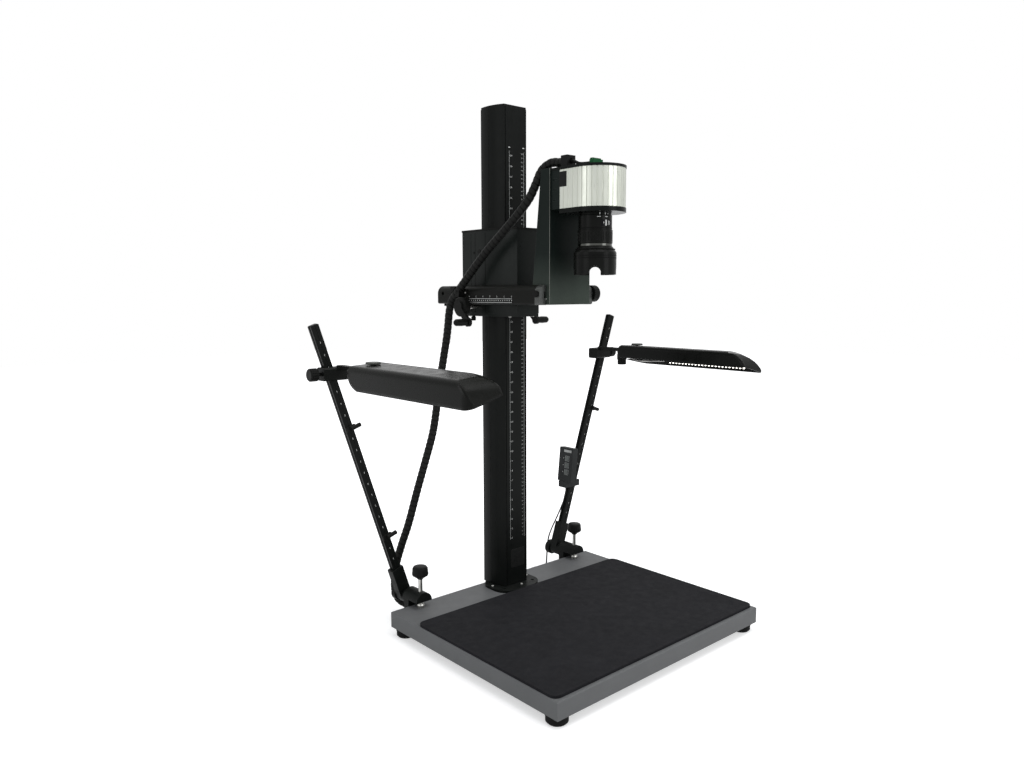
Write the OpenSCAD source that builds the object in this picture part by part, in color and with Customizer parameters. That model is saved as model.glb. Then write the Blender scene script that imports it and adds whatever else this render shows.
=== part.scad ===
// Copy stand: baseboard with mat, column with rack, carriage with crank drive,
// twin-bar arm, tilting camera head and two lamps on clamped, leaning bars.
// Millimetres. +Z is up, +X to the right, +Y to the back. The origin lies on the
// top face of the mat, over the centre of the baseboard.

/* [Baseboard] */
// Width of the baseboard
board_w = 680; // [660:1:760]
// Depth of the baseboard
board_d = 570; // [560:1:580]
// Thickness of the baseboard
board_t = 38; // [34:1:42]
// Bevel along the upper edges of the baseboard
board_bevel = 2; // [1:0.5:4]
// Thickness of the mat
mat_t = 6; // [4:0.5:8]
// Distance of the mat's front edge from the board's front edge
mat_front_gap = 9; // [4:1:20]
// Bare board behind the mat, where the column stands
mat_bare = 117; // [116:1:190]
// Corner radius of the mat
mat_r = 17; // [5:1:40]
// Diameter of a foot
foot_d = 48; // [36:1:48]
// Height of a foot
foot_h = 20; // [15:1:40]
// Distance of a foot's centre from the sides of the board
foot_in = 25; // [25:1:26]

/* [Column] */
// Width of the column's flat front face
col_face_w = 72; // [68:1:74]
// Greatest width of the column across its bulged sides
col_w = 100; // [96:1:102]
// Depth of the column from front to back
col_d = 76; // [72:1:78]
// Distance from the board's rear edge forward to the column's back
col_back_in = -2; // [-3:0.5:0]
// Depth behind the front face at which the column is widest
col_wide_at = 52; // [48:1:56]
// Height of the column above its flange
col_h = 1206; // [1190:2:1400]
// Wall of the hollow column
col_wall = 6; // [4:0.5:8]
// Width and depth of the grooves at the front corners
col_groove = 2.4; // [1:0.2:3]
// Width of the slot in the column's back
slot_w = 26; // [24:1:30]
// Depth of the slot in the column's back
slot_d = 14; // [13:0.5:16]
// Thickness of the column's cap
cap_t = 5; // [3:0.5:8]
// Half the width of the flange under the column
flange_r = 69; // [66:1:72]
// Thickness of the flange
flange_t = 6; // [4:0.5:10]

/* [Rack and pinion] */
// Tooth module of rack and pinion
gear_m = 2; // [2]
// Number of teeth on the pinion
gear_z = 12; // [12]
// Face width of the rack
rack_w = 16; // [12:1:20]
// Thickness of the rack below its teeth
rack_t = 8; // [5:0.5:8.5]
// Distance of the rack's ends from the ends of the column
rack_in = 12; // [8:1:40]

/* [Carriage] */
// Width of the housing's flat front face
car_face_w = 72; // [70:1:76]
// Greatest width of the housing
car_w = 124; // [122:1:125]
// Depth of the housing from front to back
car_d = 182; // [180:1:186]
// Distance of the housing's front face ahead of the column
car_ahead = 46; // [44:1:50]
// Depth behind the housing's front at which its sides become flat
car_flat_at = 106; // [100:1:110]
// Height of the housing
car_h = 205; // [190:1:260]
// Height of the housing's lower face above the mat
car_z = 705; // [500:1:900]
// Thickness of the housing's lid
car_lid_t = 4.5; // [3:0.5:8]
// Thickness of the plate under the housing
car_base_t = 7; // [5:0.5:10]
// Running gap between column and carriage
car_gap = 0.4; // [0.3:0.1:0.6]
// Wall of the housing
car_wall = 7; // [5:0.5:7]

/* [Crank] */
// Height of the crank shaft above the housing's lower face
shaft_up = 17; // [16.5:0.5:17.5]
// Diameter of the crank shaft
shaft_d = 12; // [10:1:13]
// Running clearance of turning parts, on the radius
run = 0.05; // [0.03:0.01:0.1]
// Diameter of the crank hubs
hub_d = 49; // [44:1:50]
// Thickness of the crank hubs
hub_t = 18; // [14:1:20]
// Gap between an arm bar and the crank hub beside it
hub_gap = 9; // [6:1:12]
// Throw of the crank from shaft to grip
crank_r = 52; // [48:1:60]
// Angle of the cranks at rest, from straight ahead towards straight down
crank_ang = 46; // [30:1:60]
// Diameter of the crank grips
grip_d = 18; // [16:1:20]
// Length of the crank grips
grip_l = 37; // [30:1:45]

/* [Arm] */
// Clear distance between the two arm bars
arm_in_w = 134; // [133:0.5:136]
// Thickness of an arm bar
bar_w = 21; // [20:0.5:24]
// Height of an arm bar
bar_h = 46; // [44:1:48]
// Length of the arm bars
bar_l = 389; // [380:1:420]
// Height of the bars' centre line above the housing's lower face
bar_up = 46.5; // [46:0.5:48]
// Distance of the bars' front ends behind the origin
bar_front = 32; // [26:1:40]
// Radius of the bars' outer upper edge
bar_r_top = 19; // [12:1:19.5]
// Radius of the bars' outer lower edge
bar_r_low = 5; // [2:1:8]
// Width of the running groove in each bar
rail_h = 14; // [10:1:16]
// Depth of the running groove in each bar
rail_d = 6; // [4:0.5:8]
// Running gap of the arm on its rails
rail_gap = 0.4; // [0.3:0.1:0.6]

/* [Bracket] */
// Distance of the bracket plate's front face behind the origin
plate_y = 21; // [19:0.5:22]
// Thickness of the bracket's sheet
sheet_t = 3; // [2:0.5:3.5]
// Outer width of the bracket
brk_w = 132; // [130:0.5:132.5]
// Height of the bracket
brk_h = 305; // [300:1:320]
// Height of the bracket's lower edge below the tilt axis
brk_low = 25; // [22:1:30]
// Depth of the bracket's sides at the top
brk_top_d = 29; // [24:1:36]
// Depth of the bracket's sides near the tilt axis
brk_low_d = 56; // [50:1:60]
// Distance of the tilt axis behind the bars' front ends
tilt_in = 10; // [9:0.5:14]
// Height of the tilt axis above the bars' centre line
tilt_up = 2.5; // [0:0.5:4]
// Diameter of the tilt bolt
tilt_bolt_d = 10; // [8:1:12]
// Diameter of the tilt knob
tilt_knob_d = 40; // [34:1:44]
// Thickness of the tilt knob
tilt_knob_t = 20; // [16:1:24]

/* [Camera] */
// Width of the camera and diameter of its round front
cam_w = 126; // [124:1:128]
// Height of the camera body
cam_h = 85; // [80:1:85]
// Distance of the lens axis ahead of the origin
lens_y = 56.5; // [54:0.5:60]
// Depth of the black block between bracket and camera body
mount_d = 28; // [24:1:32]
// Height of the camera body's lower face above the tilt axis
cam_up = 194; // [188:1:195]
// Thickness of the camera's cover
cover_t = 6; // [5:0.5:7]
// Thickness of the camera's bottom plate
under_t = 10; // [8:0.5:12]
// Radius of the flutes around the camera body
flute_r = 1.3; // [0.8:0.1:1.6]
// Diameter of the lens barrel
barrel_d = 75; // [72:1:76]
// Height of the upper part of the barrel
barrel_h = 37; // [34:1:42]
// Diameter of the focus ring
focus_d = 78; // [77:1:80]
// Height of the focus ring
focus_h = 30; // [26:1:34]
// Height of the bare ring under the focus ring
trim_h = 6; // [4:1:8]
// Height of the cone above the hood
cone_h = 14; // [10:1:16]
// Diameter of the lens hood
hood_d = 96; // [93:1:98]
// Height of the lens hood
hood_h = 49; // [44:1:54]
// Wall of the lens hood
hood_wall = 2; // [1.6:0.2:3]
// Diameter of the filter thread in the mouth of the lens
filter_d = 62; // [58:1:66]

/* [Lamp stands] */
// Distance of a lamp clamp from the middle of the board
stand_x = 269; // [255:1:269]
// Lean of the lamp bars, away from upright
lean = 18.4; // [14:0.2:20]
// Distance of the clamp screw ahead of the board's rear edge
screw_in = 23; // [20:1:28]
// Width of the clamp body
clamp_w = 45; // [42:1:46]
// Diameter of the clamp screw
screw_d = 10; // [8:0.5:11]
// Diameter of the clamp screw's head
screw_head_d = 40; // [36:1:44]
// Thickness of the wall behind the board and of the jaw below it
jaw_t = 8; // [7:0.5:10]
// Distance of the lamp bar's plane behind the board's rear edge
lamp_bar_back = 50; // [48:1:52]
// Height of the lean pivot above the board's top
pivot_up = 11; // [9:0.5:13]
// Diameter of the pivot bolt
pivot_d = 10; // [8:1:12]
// Diameter of the pivot knob
pivot_knob_d = 40; // [36:1:42]
// Width of the lamp bar
lamp_bar_w = 20; // [18:1:22]
// Depth of the lamp bar
lamp_bar_t = 16; // [14:1:18]
// Distance of the lamp bar's top from the pivot
lamp_bar_top = 718; // [640:2:760]
// Length of the socket above the pivot
socket_l = 78; // [70:1:90]

/* [Lamp clamps] */
// Distance of the slide clamp from the pivot, along the lamp bar
slide_at = 601; // [592:1:608]
// Width of the slide clamp's block
block_w = 60; // [56:1:64]
// Depth of the slide clamp's block
block_d = 34; // [32:1:36]
// Height of the slide clamp's block
block_h = 30; // [26:1:32]
// Gap between lamp bar and slide clamp
slide_gap = 0.4; // [0.3:0.1:0.6]
// Width of the strap from clamp to lamp
strap_w = 16; // [14:1:18]
// Thickness of the strap
strap_t = 10; // [8:0.5:11]
// Diameter of the slide clamp's knob
slide_knob_d = 30; // [26:1:34]
// Diameter of the knob under the lamp
lamp_knob_d = 28; // [24:1:30]

/* [Lamps] */
// Distance of a lamp's swivel from the middle of the board
lamp_x = 437.5; // [435:0.5:440]
// Distance of the lamps' swivel behind the origin
lamp_y = 180; // [176:1:190]
// Length of the lamp shade
lamp_l = 418; // [400:1:430]
// Width of the lamp shade
lamp_w = 85; // [80:1:88]
// Distance from the lamp's rear end forward to its swivel
lamp_rear = 37; // [34:1:39]
// Height of the shade's outer wall
lamp_out_h = 53; // [50:1:55]
// Height of the shade's inner wall
lamp_in_h = 36; // [33:1:37]
// Rise of the shade's top towards the inner side
lamp_rise = 4; // [3:1:8]
// Wall of the shade
lamp_wall = 2.5; // [2:0.5:3]
// Greatest swivel of a lamp to either side, in degrees
lamp_swing = 10; // [6:1:10]
// Number of light spots on each lamp's strip
led_n = 23; // [12:1:30]

/* [Controller] */
// Thickness of the controller
ctl_t = 20; // [18:1:24]
// Width of the controller
ctl_w = 54; // [48:1:56]
// Height of the controller
ctl_h = 100; // [90:1:104]
// Lean of the controller
ctl_lean = 6; // [0:1:10]
// Side of a push button
button_w = 12; // [10:1:14]
// Travel of a push button
button_travel = 1.2; // [0.8:0.1:1.6]

/* [Cables] */
// Diameter of the wrapped harness
harness_d = 20.5; // [20.5]
// Diameter of the controller's lead
lead_d = 4; // [4]

/* [Hidden] */
$fn = 64;
eps = 0.01;

// Board and feet
board_top = -mat_t;
board_low = board_top - board_t;
floor_z = board_low - foot_h;
rear_y = board_d / 2;
mat_d = board_d - mat_bare;
mat_front = -board_d / 2 + mat_front_gap;
foot_x = board_w / 2 - foot_in;
foot_y = board_d / 2 - foot_in - 2;

// Column outline: two arcs through the front corners, widest at col_wide_at
col_back = rear_y - col_back_in;
col_front = col_back - col_d;
col_low = board_top + flange_t;
col_top = col_low + col_h;
flange_front = mat_front + mat_d + 0.5;
body_y = lens_y + 5.5;
function arc_r(half, face, dist) = (pow(half - face, 2) + dist * dist) / (2 * (half - face));
col_r = arc_r(col_w / 2, col_face_w / 2, col_wide_at);
col_wy = col_front + col_wide_at;

// Rack and pinion: the shaft stands one pitch radius behind the pitch line
pitch_r = gear_m * gear_z / 2;
pitch_a = 25;
add_h = 0.9 * gear_m;
ded_h = 1.15 * gear_m;
play = 0.2;
pitch = PI * gear_m;
rack_y = col_back - slot_d + rack_t + ded_h;
shaft_y = rack_y + pitch_r + 0.15;
shaft_z = car_z + shaft_up;
rack_lo = col_low + rack_in;
rack_hi = col_top - rack_in;

// Carriage
car_front = col_front - car_ahead;
car_back = car_front + car_d;
car_r = arc_r(car_w / 2, car_face_w / 2, car_flat_at);
car_top = car_z + car_h;
drag_x = 49;
drag_y = car_back - 27;

// Arm
bar_in = arm_in_w / 2;
bar_out = bar_in + bar_w;
bar_z = car_z + bar_up;
bar_back = bar_front + bar_l;
rail_tip = bar_in + rail_d - rail_gap;
rail_back = car_back - 2;
hub_x = bar_out + hub_gap;
crank_in = 14;
crank_t = 8;

// Tilt axis and bracket
tilt_y = bar_front + tilt_in;
tilt_z = bar_z + tilt_up;
brk_z = tilt_z - brk_low;
brk_top = brk_z + brk_h;

// Camera and lens
cam_z = tilt_z + cam_up - 6;
cam_top = cam_z + cam_h;
cam_back = plate_y - mount_d;
under_z = cam_z - under_t;
barrel_z = under_z - barrel_h;
focus_z = barrel_z - focus_h;
trim_z = focus_z - trim_h;
cone_z = trim_z - cone_h;
hood_z = cone_z - hood_h;
neck_r = barrel_d / 2 - 4;

// Lamp stands
screw_y = rear_y - screw_in;
clamp_front = screw_y - 16;
clamp_back = rear_y + 20;
clamp_z = board_top + 17;
pivot_z = board_top + pivot_up;
lamp_bar_y = rear_y + lamp_bar_back;
pad_t = 9;
socket_w = lamp_bar_w + 12;
socket_t = lamp_bar_t + 8;
socket_low = 22;
slide_x = stand_x + slide_at * sin(lean);
slide_z = pivot_z + slide_at * cos(lean);
block_x = (lamp_x + slide_x) / 2 + 2;

// Lamps
lamp_in_x = lamp_x - lamp_w / 2;
lamp_out_x = lamp_x + lamp_w / 2;
lamp_back = lamp_y + lamp_rear;
lamp_tip = lamp_back - lamp_l;
strap_z = slide_z + 9.5;
strap_top = strap_z + strap_t;
lamp_slope = lamp_rise / (lamp_w - 19);
lamp_top = strap_top + lamp_wall + 6.6 + lamp_rise / 2 - lamp_slope * (lamp_w / 2 - 13)
    + lamp_slope * (strap_w / 2 + lamp_rear * sin(lamp_swing));
pin_d = 10;
cap_r = 16.5;
cap_up = lamp_slope * cap_r + 0.3;
lamp_knob_y = lamp_y + 56;
lamp_edge = lamp_top + lamp_rise / 2;
nose_turn = [46, -41];
nose_l = [89, 94];
nose_h = [39, 76];
front_l = 62;
front_h = 59;
notch_half = strap_w / 2 + lamp_rear * sin(lamp_swing) + 3;

// Controller
ctl_up = 248;
ctl_z = pivot_z + ctl_up;
ctl_x = stand_x + ctl_up * tan(lean) - lamp_bar_w / 2 - ctl_t / 2 - 24.6;
ctl_y = lamp_bar_y - 8;
ctl_low = ctl_z - ctl_h / 2 * cos(ctl_lean) - ctl_t / 2 * sin(ctl_lean) - 1;
ctl_clip_h = 18;

// Routes of the cables, as points on their centre lines
clip_x = bar_out + 12;
harness_floor = floor_z + 11;
ROUTE_LOW = [[-124, 353, 584], [-130, 353, 556], [-136, 353, 528], [-146, 354, 464],
    [-158, 356, 399], [-182, 358, 326], [-206, 361, 254], [-230, 366, 174],
    [-246, 377, 116], [-255, 388, 68], [-258, 394, 22], [-256, 394, -10],
    [-246, 388, -34], [-222, 375, -49], [-190, 361, -53], [-150, 350, -53],
    [-90, 345, -53], [-20, 344, -53], [60, 344, -53], [118, 344, -53], [150, 344, -53],
    [182, 344, -53], [214, 344, -53]];
ROUTE_MID = [[-100, 331, 750], [-100, 340, 742], [-101, 348, 729], [-103, 353, 704],
    [-107, 353, 672], [-112, 353, 640], [-118, 353, 612], [-123.995, 353, 584.02]];
ROUTE_TOP = [[-100, 331, 750], [-100, 322, 758], [-99, 296, 781], [-98, 266, 808],
    [-96, 236, 835], [-92, 202, 865], [-88, 166, 893], [-84, 133, 920], [-79, 104, 946],
    [-71, 83, 973], [-63, 72, 1001], [-55, 59, 1033], [-47, 37, 1048], [-42, 14, 1047],
    [-42, -2, 1047]];
lead_top = ctl_low + 3 - ctl_clip_h;
ROUTE_LEAD = [[300, 327, lead_top], [300, 327, lead_top - 4], [300, 327, lead_top - 9],
    [299, 328, 165], [296, 333, 143], [290, 342, 115],
    [285, 354, 85], [279, 366, 55], [274, 374, 26], [272, 377, -6], [269, 376, -34],
    [261, 371, -54], [244, 365, -61], [220, 362, -62], [150, 361, -62], [80, 361, -62],
    [10, 361, -62], [-50, 361, -62], [-100, 361, -62], [-118, 362, -62],
    [-128, 366, -62], [-132, 373, -62], [-128, 380, -62], [-118, 384, -62],
    [-100, 385, -62], [-50, 385, -62], [10, 385, -62], [80, 385, -62], [140, 385, -61],
    [174, 385, -60], [190, 385, -60], [206, 385, -60]];

module mirror_side(side) {
    if (side < 0) mirror([1, 0, 0]) children();
    else children();
}

// Points of an arc round [x, y] from angle a to b
function arc_pts(x, y, r, a, b, n = 8) =
    [for (i = [0:n]) [x + r * cos(a + (b - a) * i / n), y + r * sin(a + (b - a) * i / n)]];

// A solid with rounded vertical corners, from true quarter cylinders
module slab(w, d, h, r) {
    union() {
        translate([-w / 2 + r, -d / 2, 0]) cube([w - 2 * r, d, h]);
        translate([-w / 2, -d / 2 + r, 0]) cube([w, d - 2 * r, h]);
        for (x = [-1, 1], y = [-1, 1])
            translate([x * (w / 2 - r), y * (d / 2 - r), 0]) cylinder(r = r, h = h);
    }
}

// Knurled knob along +Z with shallow round grips all round
module ribbed_knob(d, h, n, dip = 1.2) {
    difference() {
        rotate_extrude()
            polygon([[0, 0], [d / 2 - 1.5, 0], [d / 2, 1.5], [d / 2, h - 2.5],
                [d / 2 - 2.5, h], [0, h]]);
        for (i = [0:n - 1]) rotate([0, 0, i * 360 / n])
            translate([d / 2 + dip * 0.35, 0, -1]) cylinder(r = dip, h = h + 2, $fn = 16);
    }
}

module board() {
    w = board_w / 2;
    d = board_d / 2;
    b = board_bevel;
    color("dimgray") intersection() {
        translate([-w, 0, 0]) rotate([90, 0, 90]) linear_extrude(board_w)
            polygon([[-d, board_low], [d, board_low], [d, board_top - b],
                [d - b, board_top], [-d + b, board_top], [-d, board_top - b]]);
        translate([0, d, 0]) rotate([90, 0, 0]) linear_extrude(board_d)
            polygon([[-w, board_low], [w, board_low], [w, board_top - b],
                [w - b, board_top], [-w + b, board_top], [-w, board_top - b]]);
    }
}

module mat() {
    color([0.08, 0.08, 0.08]) translate([0, mat_front + mat_d / 2, board_top])
        slab(board_w - 2 * board_bevel, mat_d, mat_t, mat_r);
}

module feet() {
    color([0.1, 0.1, 0.1])
        for (x = [-foot_x, foot_x], y = [-foot_y, foot_y]) translate([x, y, floor_z])
            rotate_extrude() polygon([[0, 0], [foot_d / 2 - 5, 0], [foot_d / 2 - 1, 4],
                [foot_d / 2 - 1, foot_h - 6], [foot_d / 2, foot_h - 5],
                [foot_d / 2, foot_h], [0, foot_h]]);
}

// The column's outline, drawn in by e all round
module column_outline(e = 0) {
    intersection() {
        translate([col_w / 2 - col_r, col_wy]) circle(r = col_r - e, $fn = 160);
        translate([col_r - col_w / 2, col_wy]) circle(r = col_r - e, $fn = 160);
        translate([-col_w, col_front + e]) square([2 * col_w, col_d - 2 * e]);
    }
}

module column_flange() {
    color([0.09, 0.09, 0.09]) difference() {
        translate([0, (flange_front + rear_y - 1) / 2, board_top])
            slab(2 * flange_r, rear_y - 1 - flange_front, flange_t, 42);
        for (s = [-1, 1]) translate([s * (flange_r - 20), col_front - 8,
            board_top + flange_t - 3]) cylinder(d = 9, h = 4);
    }
}

module column() {
    color([0.1, 0.1, 0.1]) translate([0, 0, col_low]) linear_extrude(col_h) difference() {
        column_outline();
        intersection() {
            column_outline(col_wall);
            translate([-col_w, col_front])
                square([2 * col_w, col_d - slot_d - col_wall]);
        }
        translate([-slot_w / 2, col_back - slot_d]) square([slot_w, slot_d + 1]);
        for (s = [-1, 1]) translate([s * (col_face_w / 2 - 3), col_front])
            translate([-col_groove / 2, -1]) square([col_groove, col_groove + 1]);
        for (s = [-1, 1], k = [22, 32]) translate([s * (col_w / 2 - 0.2), col_front + k + 12])
            circle(r = 1, $fn = 24);
    }
}

// Rack in the slot, teeth facing back, one space level with the pinion's axis
module gear_rack() {
    half = pitch / 4 - play / 2;
    tip = half - add_h * tan(pitch_a);
    root = half + ded_h * tan(pitch_a);
    shift = shaft_z + pitch / 2;
    first = ceil((rack_lo + pitch - shift) / pitch);
    last = floor((rack_hi - pitch - shift) / pitch);
    color("gray") translate([rack_w / 2, 0, 0]) rotate([90, 0, -90]) linear_extrude(rack_w)
        polygon(concat([[-(col_back - slot_d), rack_hi], [-(col_back - slot_d), rack_lo],
            [-(rack_y - ded_h), rack_lo]],
            [for (i = [first:last]) each [
                [-(rack_y - ded_h), shift + i * pitch - root],
                [-(rack_y + add_h), shift + i * pitch - tip],
                [-(rack_y + add_h), shift + i * pitch + tip],
                [-(rack_y - ded_h), shift + i * pitch + root]]],
            [[-(rack_y - ded_h), rack_hi]]));
}

module column_cap() {
    color([0.1, 0.1, 0.1]) translate([0, 0, col_top]) linear_extrude(cap_t)
        column_outline(0.8);
}

// Outline of the carriage, grown by e
module carriage_outline(e = 0) {
    intersection() {
        translate([0, car_front + car_flat_at]) union() {
            intersection() {
                translate([car_w / 2 - car_r, 0]) circle(r = car_r + e, $fn = 200);
                translate([car_r - car_w / 2, 0]) circle(r = car_r + e, $fn = 200);
                translate([-car_w, -car_flat_at - e])
                    square([2 * car_w, car_flat_at + e + 1]);
            }
            translate([-car_w / 2 - e, 0])
                square([car_w + 2 * e, car_d - car_flat_at + e]);
        }
    }
}

module column_passage(h, gap) {
    translate([0, 0, -1]) linear_extrude(h) union() {
        column_outline(-gap);
        translate([-slot_w / 2 - 4, col_back - 2]) square([slot_w + 8, 4]);
    }
}

module carriage_housing() {
    chamber = slot_w + 12;
    color([0.09, 0.09, 0.09]) union() {
        difference() {
            translate([0, 0, car_z]) linear_extrude(car_h) carriage_outline();
            translate([0, 0, car_z]) column_passage(car_h + 2, car_gap);
            translate([-chamber / 2, col_back - 1, car_z - 1])
                cube([chamber, car_back - col_back - car_wall, shaft_up + 24]);
            translate([-car_w, shaft_y, shaft_z]) rotate([0, 90, 0])
                cylinder(r = shaft_d / 2 + run, h = 2 * car_w);
            translate([0, 0, car_z - 1]) linear_extrude(car_h + 2) intersection() {
                carriage_outline(-car_wall);
                translate([-car_face_w / 2 + 4, car_front])
                    square([car_face_w - 8, car_ahead - car_gap - 5]);
            }
        }
        for (s = [-1, 1]) mirror_side(s)
            translate([car_w / 2 - 9.5, car_front + 48, bar_z - rail_h / 2 + rail_gap])
                cube([rail_tip - car_w / 2 + 9.5, rail_back - car_front - 48,
                    rail_h - 2 * rail_gap]);
    }
}

module carriage_lid() {
    color([0.12, 0.12, 0.12]) difference() {
        translate([0, 0, car_top]) linear_extrude(car_lid_t) carriage_outline(1.2);
        translate([0, 0, car_top]) column_passage(car_lid_t + 2, car_gap);
    }
}

module carriage_base() {
    color([0.07, 0.07, 0.07]) difference() {
        translate([0, 0, car_z - car_base_t]) linear_extrude(car_base_t)
            carriage_outline(-0.8);
        translate([0, 0, car_z - car_base_t]) column_passage(car_base_t + 2, car_gap);
        translate([-drag_x, drag_y, car_z - car_base_t - 1])
            cylinder(d = 6 + 2 * run, h = car_base_t + 2);
    }
}

// Involute pinion tooth outline, thinned by the play, radial below the base circle
function inv_ang(r, rb) = r <= rb ? 0 : sqrt(pow(r / rb, 2) - 1) * 180 / PI - acos(rb / r);
module pinion_outline() {
    rb = pitch_r * cos(pitch_a);
    ro = pitch_r + add_h;
    rr = pitch_r - ded_h;
    half = 90 / gear_z - play / 2 / pitch_r * 180 / PI;
    steps = 6;
    polygon([for (i = [0:gear_z - 1]) each
        let(c = i * 360 / gear_z, h = half + inv_ang(pitch_r, rb))
        concat([[rr * cos(c - h), rr * sin(c - h)]],
            [for (k = [0:steps]) let(r = rb + (ro - rb) * k / steps, a = c - h + inv_ang(r, rb))
                [r * cos(a), r * sin(a)]],
            [for (k = [steps:-1:0]) let(r = rb + (ro - rb) * k / steps, a = c + h - inv_ang(r, rb))
                [r * cos(a), r * sin(a)]],
            [[rr * cos(c + h), rr * sin(c + h)]])]);
}

// Shaft and pinion turn together; one tooth points forward into a space of the rack
module crank_shaft() {
    reach = hub_x + hub_t - 4;
    color("silver") translate([0, shaft_y, shaft_z]) rotate([0, 90, 0]) union() {
        translate([0, 0, -reach]) cylinder(d = shaft_d, h = 2 * reach);
        translate([0, 0, -rack_w / 2]) rotate([0, 0, -90]) linear_extrude(rack_w)
            pinion_outline();
        for (s = [-1, 1]) translate([0, 0, s * 15 - 2]) cylinder(d = shaft_d + 2, h = 4);
    }
}

module at_crank() {
    translate([0, shaft_y, shaft_z]) rotate([crank_ang, 0, 0]) children();
}

module cranks() {
    color([0.08, 0.08, 0.08]) for (s = [-1, 1]) mirror_side(s) at_crank()
        translate([hub_x, 0, 0]) difference() {
            union() {
                rotate([0, 90, 0]) rotate_extrude() polygon([[0, 0], [hub_d / 2 - 1, 0],
                    [hub_d / 2, 1], [hub_d / 2, hub_t - 3], [hub_d / 2 - 3, hub_t],
                    [0, hub_t]]);
                translate([crank_in, -crank_r, -8]) cube([crank_t, crank_r - 8, 16]);
                translate([crank_in, -crank_r, 0]) rotate([0, 90, 0])
                    cylinder(d = 22, h = crank_t);
                translate([crank_in, 0, 0]) rotate([0, 90, 0]) cylinder(d = 30, h = crank_t);
            }
            translate([-1, 0, 0]) rotate([0, 90, 0])
                cylinder(r = shaft_d / 2, h = hub_t - 4 + 1);
            translate([-1, -crank_r, 0]) rotate([0, 90, 0])
                cylinder(r = 4 + run, h = hub_t + 10);
        }
}

// Turning grip with its own bolt, which runs in the crank's boss
module crank_grip(side) {
    h0 = hub_x + crank_in + crank_t + 0.3;
    mirror_side(side) at_crank() translate([0, -crank_r, 0]) rotate([0, 90, 0]) {
        translate([0, 0, h0]) rotate_extrude() polygon([[0, 0], [grip_d / 2 - 2.5, 0],
            [grip_d / 2 - 1, 3], [grip_d / 2, grip_l * 0.45], [grip_d / 2 - 0.6, grip_l - 4],
            [grip_d / 2 - 3, grip_l], [4, grip_l], [4, grip_l + 1], [0, grip_l + 1]]);
        translate([0, 0, hub_x + crank_in + 0.2]) cylinder(r = 4, h = crank_t + 0.6);
    }
}
module crank_grip_left() color([0.07, 0.07, 0.07]) crank_grip(-1);
module crank_grip_right() color([0.07, 0.07, 0.07]) crank_grip(1);

module drag_screw() {
    color([0.15, 0.15, 0.15]) translate([-drag_x, drag_y, car_z - car_base_t]) {
        translate([0, 0, -0.3 - 12]) ribbed_knob(12, 12, 12, 0.8);
        translate([0, 0, -1]) cylinder(d = 6, h = car_base_t + 0.7);
    }
}

// Arm bar, drawn as a right-hand bar with its groove facing inwards
module arm_bar(side) {
    hh = bar_h / 2;
    mirror_side(side) translate([0, bar_back, bar_z]) rotate([90, 0, 0]) difference() {
        linear_extrude(bar_l) difference() {
            polygon(concat([[bar_in, -hh]],
                arc_pts(bar_out - bar_r_low, -hh + bar_r_low, bar_r_low, -90, 0, 6),
                arc_pts(bar_out - bar_r_top, hh - bar_r_top, bar_r_top, 0, 90, 16),
                [[bar_in, hh]]));
            translate([bar_in - 1, -rail_h / 2]) square([rail_d + 1, rail_h]);
        }
        translate([bar_in - 1, tilt_up, bar_l - tilt_in]) rotate([0, 90, 0])
            cylinder(r = tilt_bolt_d / 2 + run, h = bar_w + 2);
        translate([bar_in - 1, 4, 22]) rotate([0, 90, 0]) cylinder(d = 10, h = bar_w + 2);
    }
}
module arm_bar_left() color([0.1, 0.1, 0.1]) arm_bar(-1);
module arm_bar_right() color([0.1, 0.1, 0.1]) arm_bar(1);

module arm_cross_bar() {
    color([0.1, 0.1, 0.1]) difference() {
        translate([-bar_in, bar_back - 33, bar_z - bar_h / 2 + 3])
            cube([2 * bar_in, 22, bar_h - 8]);
        for (x = [-40, 40]) translate([x, bar_back - 40, bar_z])
            rotate([-90, 0, 0]) cylinder(d = 22, h = 40);
    }
}

module cable_clip() {
    color([0.08, 0.08, 0.08]) translate([-bar_out, 322, bar_z + 6.5]) difference() {
        union() {
            translate([-clip_x + bar_out - 8.5, -17, -11])
                cube([clip_x - bar_out + 8.5, 34, 26]);
            for (y = [-22, 22]) translate([-3, y - 7, -8]) cube([3, 14, 16]);
        }
        translate([-clip_x + bar_out, 0, 0]) rotate([48, 0, 0])
            translate([0, 0, -50]) cylinder(r = harness_d / 2 + 0.8, h = 100);
    }
}

module bracket() {
    w = brk_w / 2;
    color([0.11, 0.13, 0.12]) difference() {
        union() {
            translate([-w, plate_y, brk_z]) cube([brk_w, sheet_t, brk_h]);
            for (s = [-1, 1]) mirror_side(s) translate([w - sheet_t, 0, 0])
                rotate([90, 0, 90]) linear_extrude(sheet_t) polygon(concat(
                    [[plate_y, brk_z], [plate_y, brk_top], [plate_y + brk_top_d, brk_top]],
                    [[plate_y + brk_low_d, brk_z + 52]],
                    arc_pts(plate_y + brk_low_d - 14, brk_z + 14, 14, 0, -90, 8)));
            translate([-w, plate_y, brk_z]) cube([brk_w, 16, sheet_t]);
            translate([-w, plate_y, brk_top - sheet_t]) cube([brk_w, 12, sheet_t]);
        }
        translate([-w - 1, tilt_y, tilt_z]) rotate([0, 90, 0])
            cylinder(r = tilt_bolt_d / 2 + run, h = brk_w + 2);
        for (x = [-40, 40], z = [30, 60]) translate([x, plate_y - 1, cam_z + z - 6])
            rotate([-90, 0, 0]) cylinder(d = 6, h = sheet_t + 2);
    }
}

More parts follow.
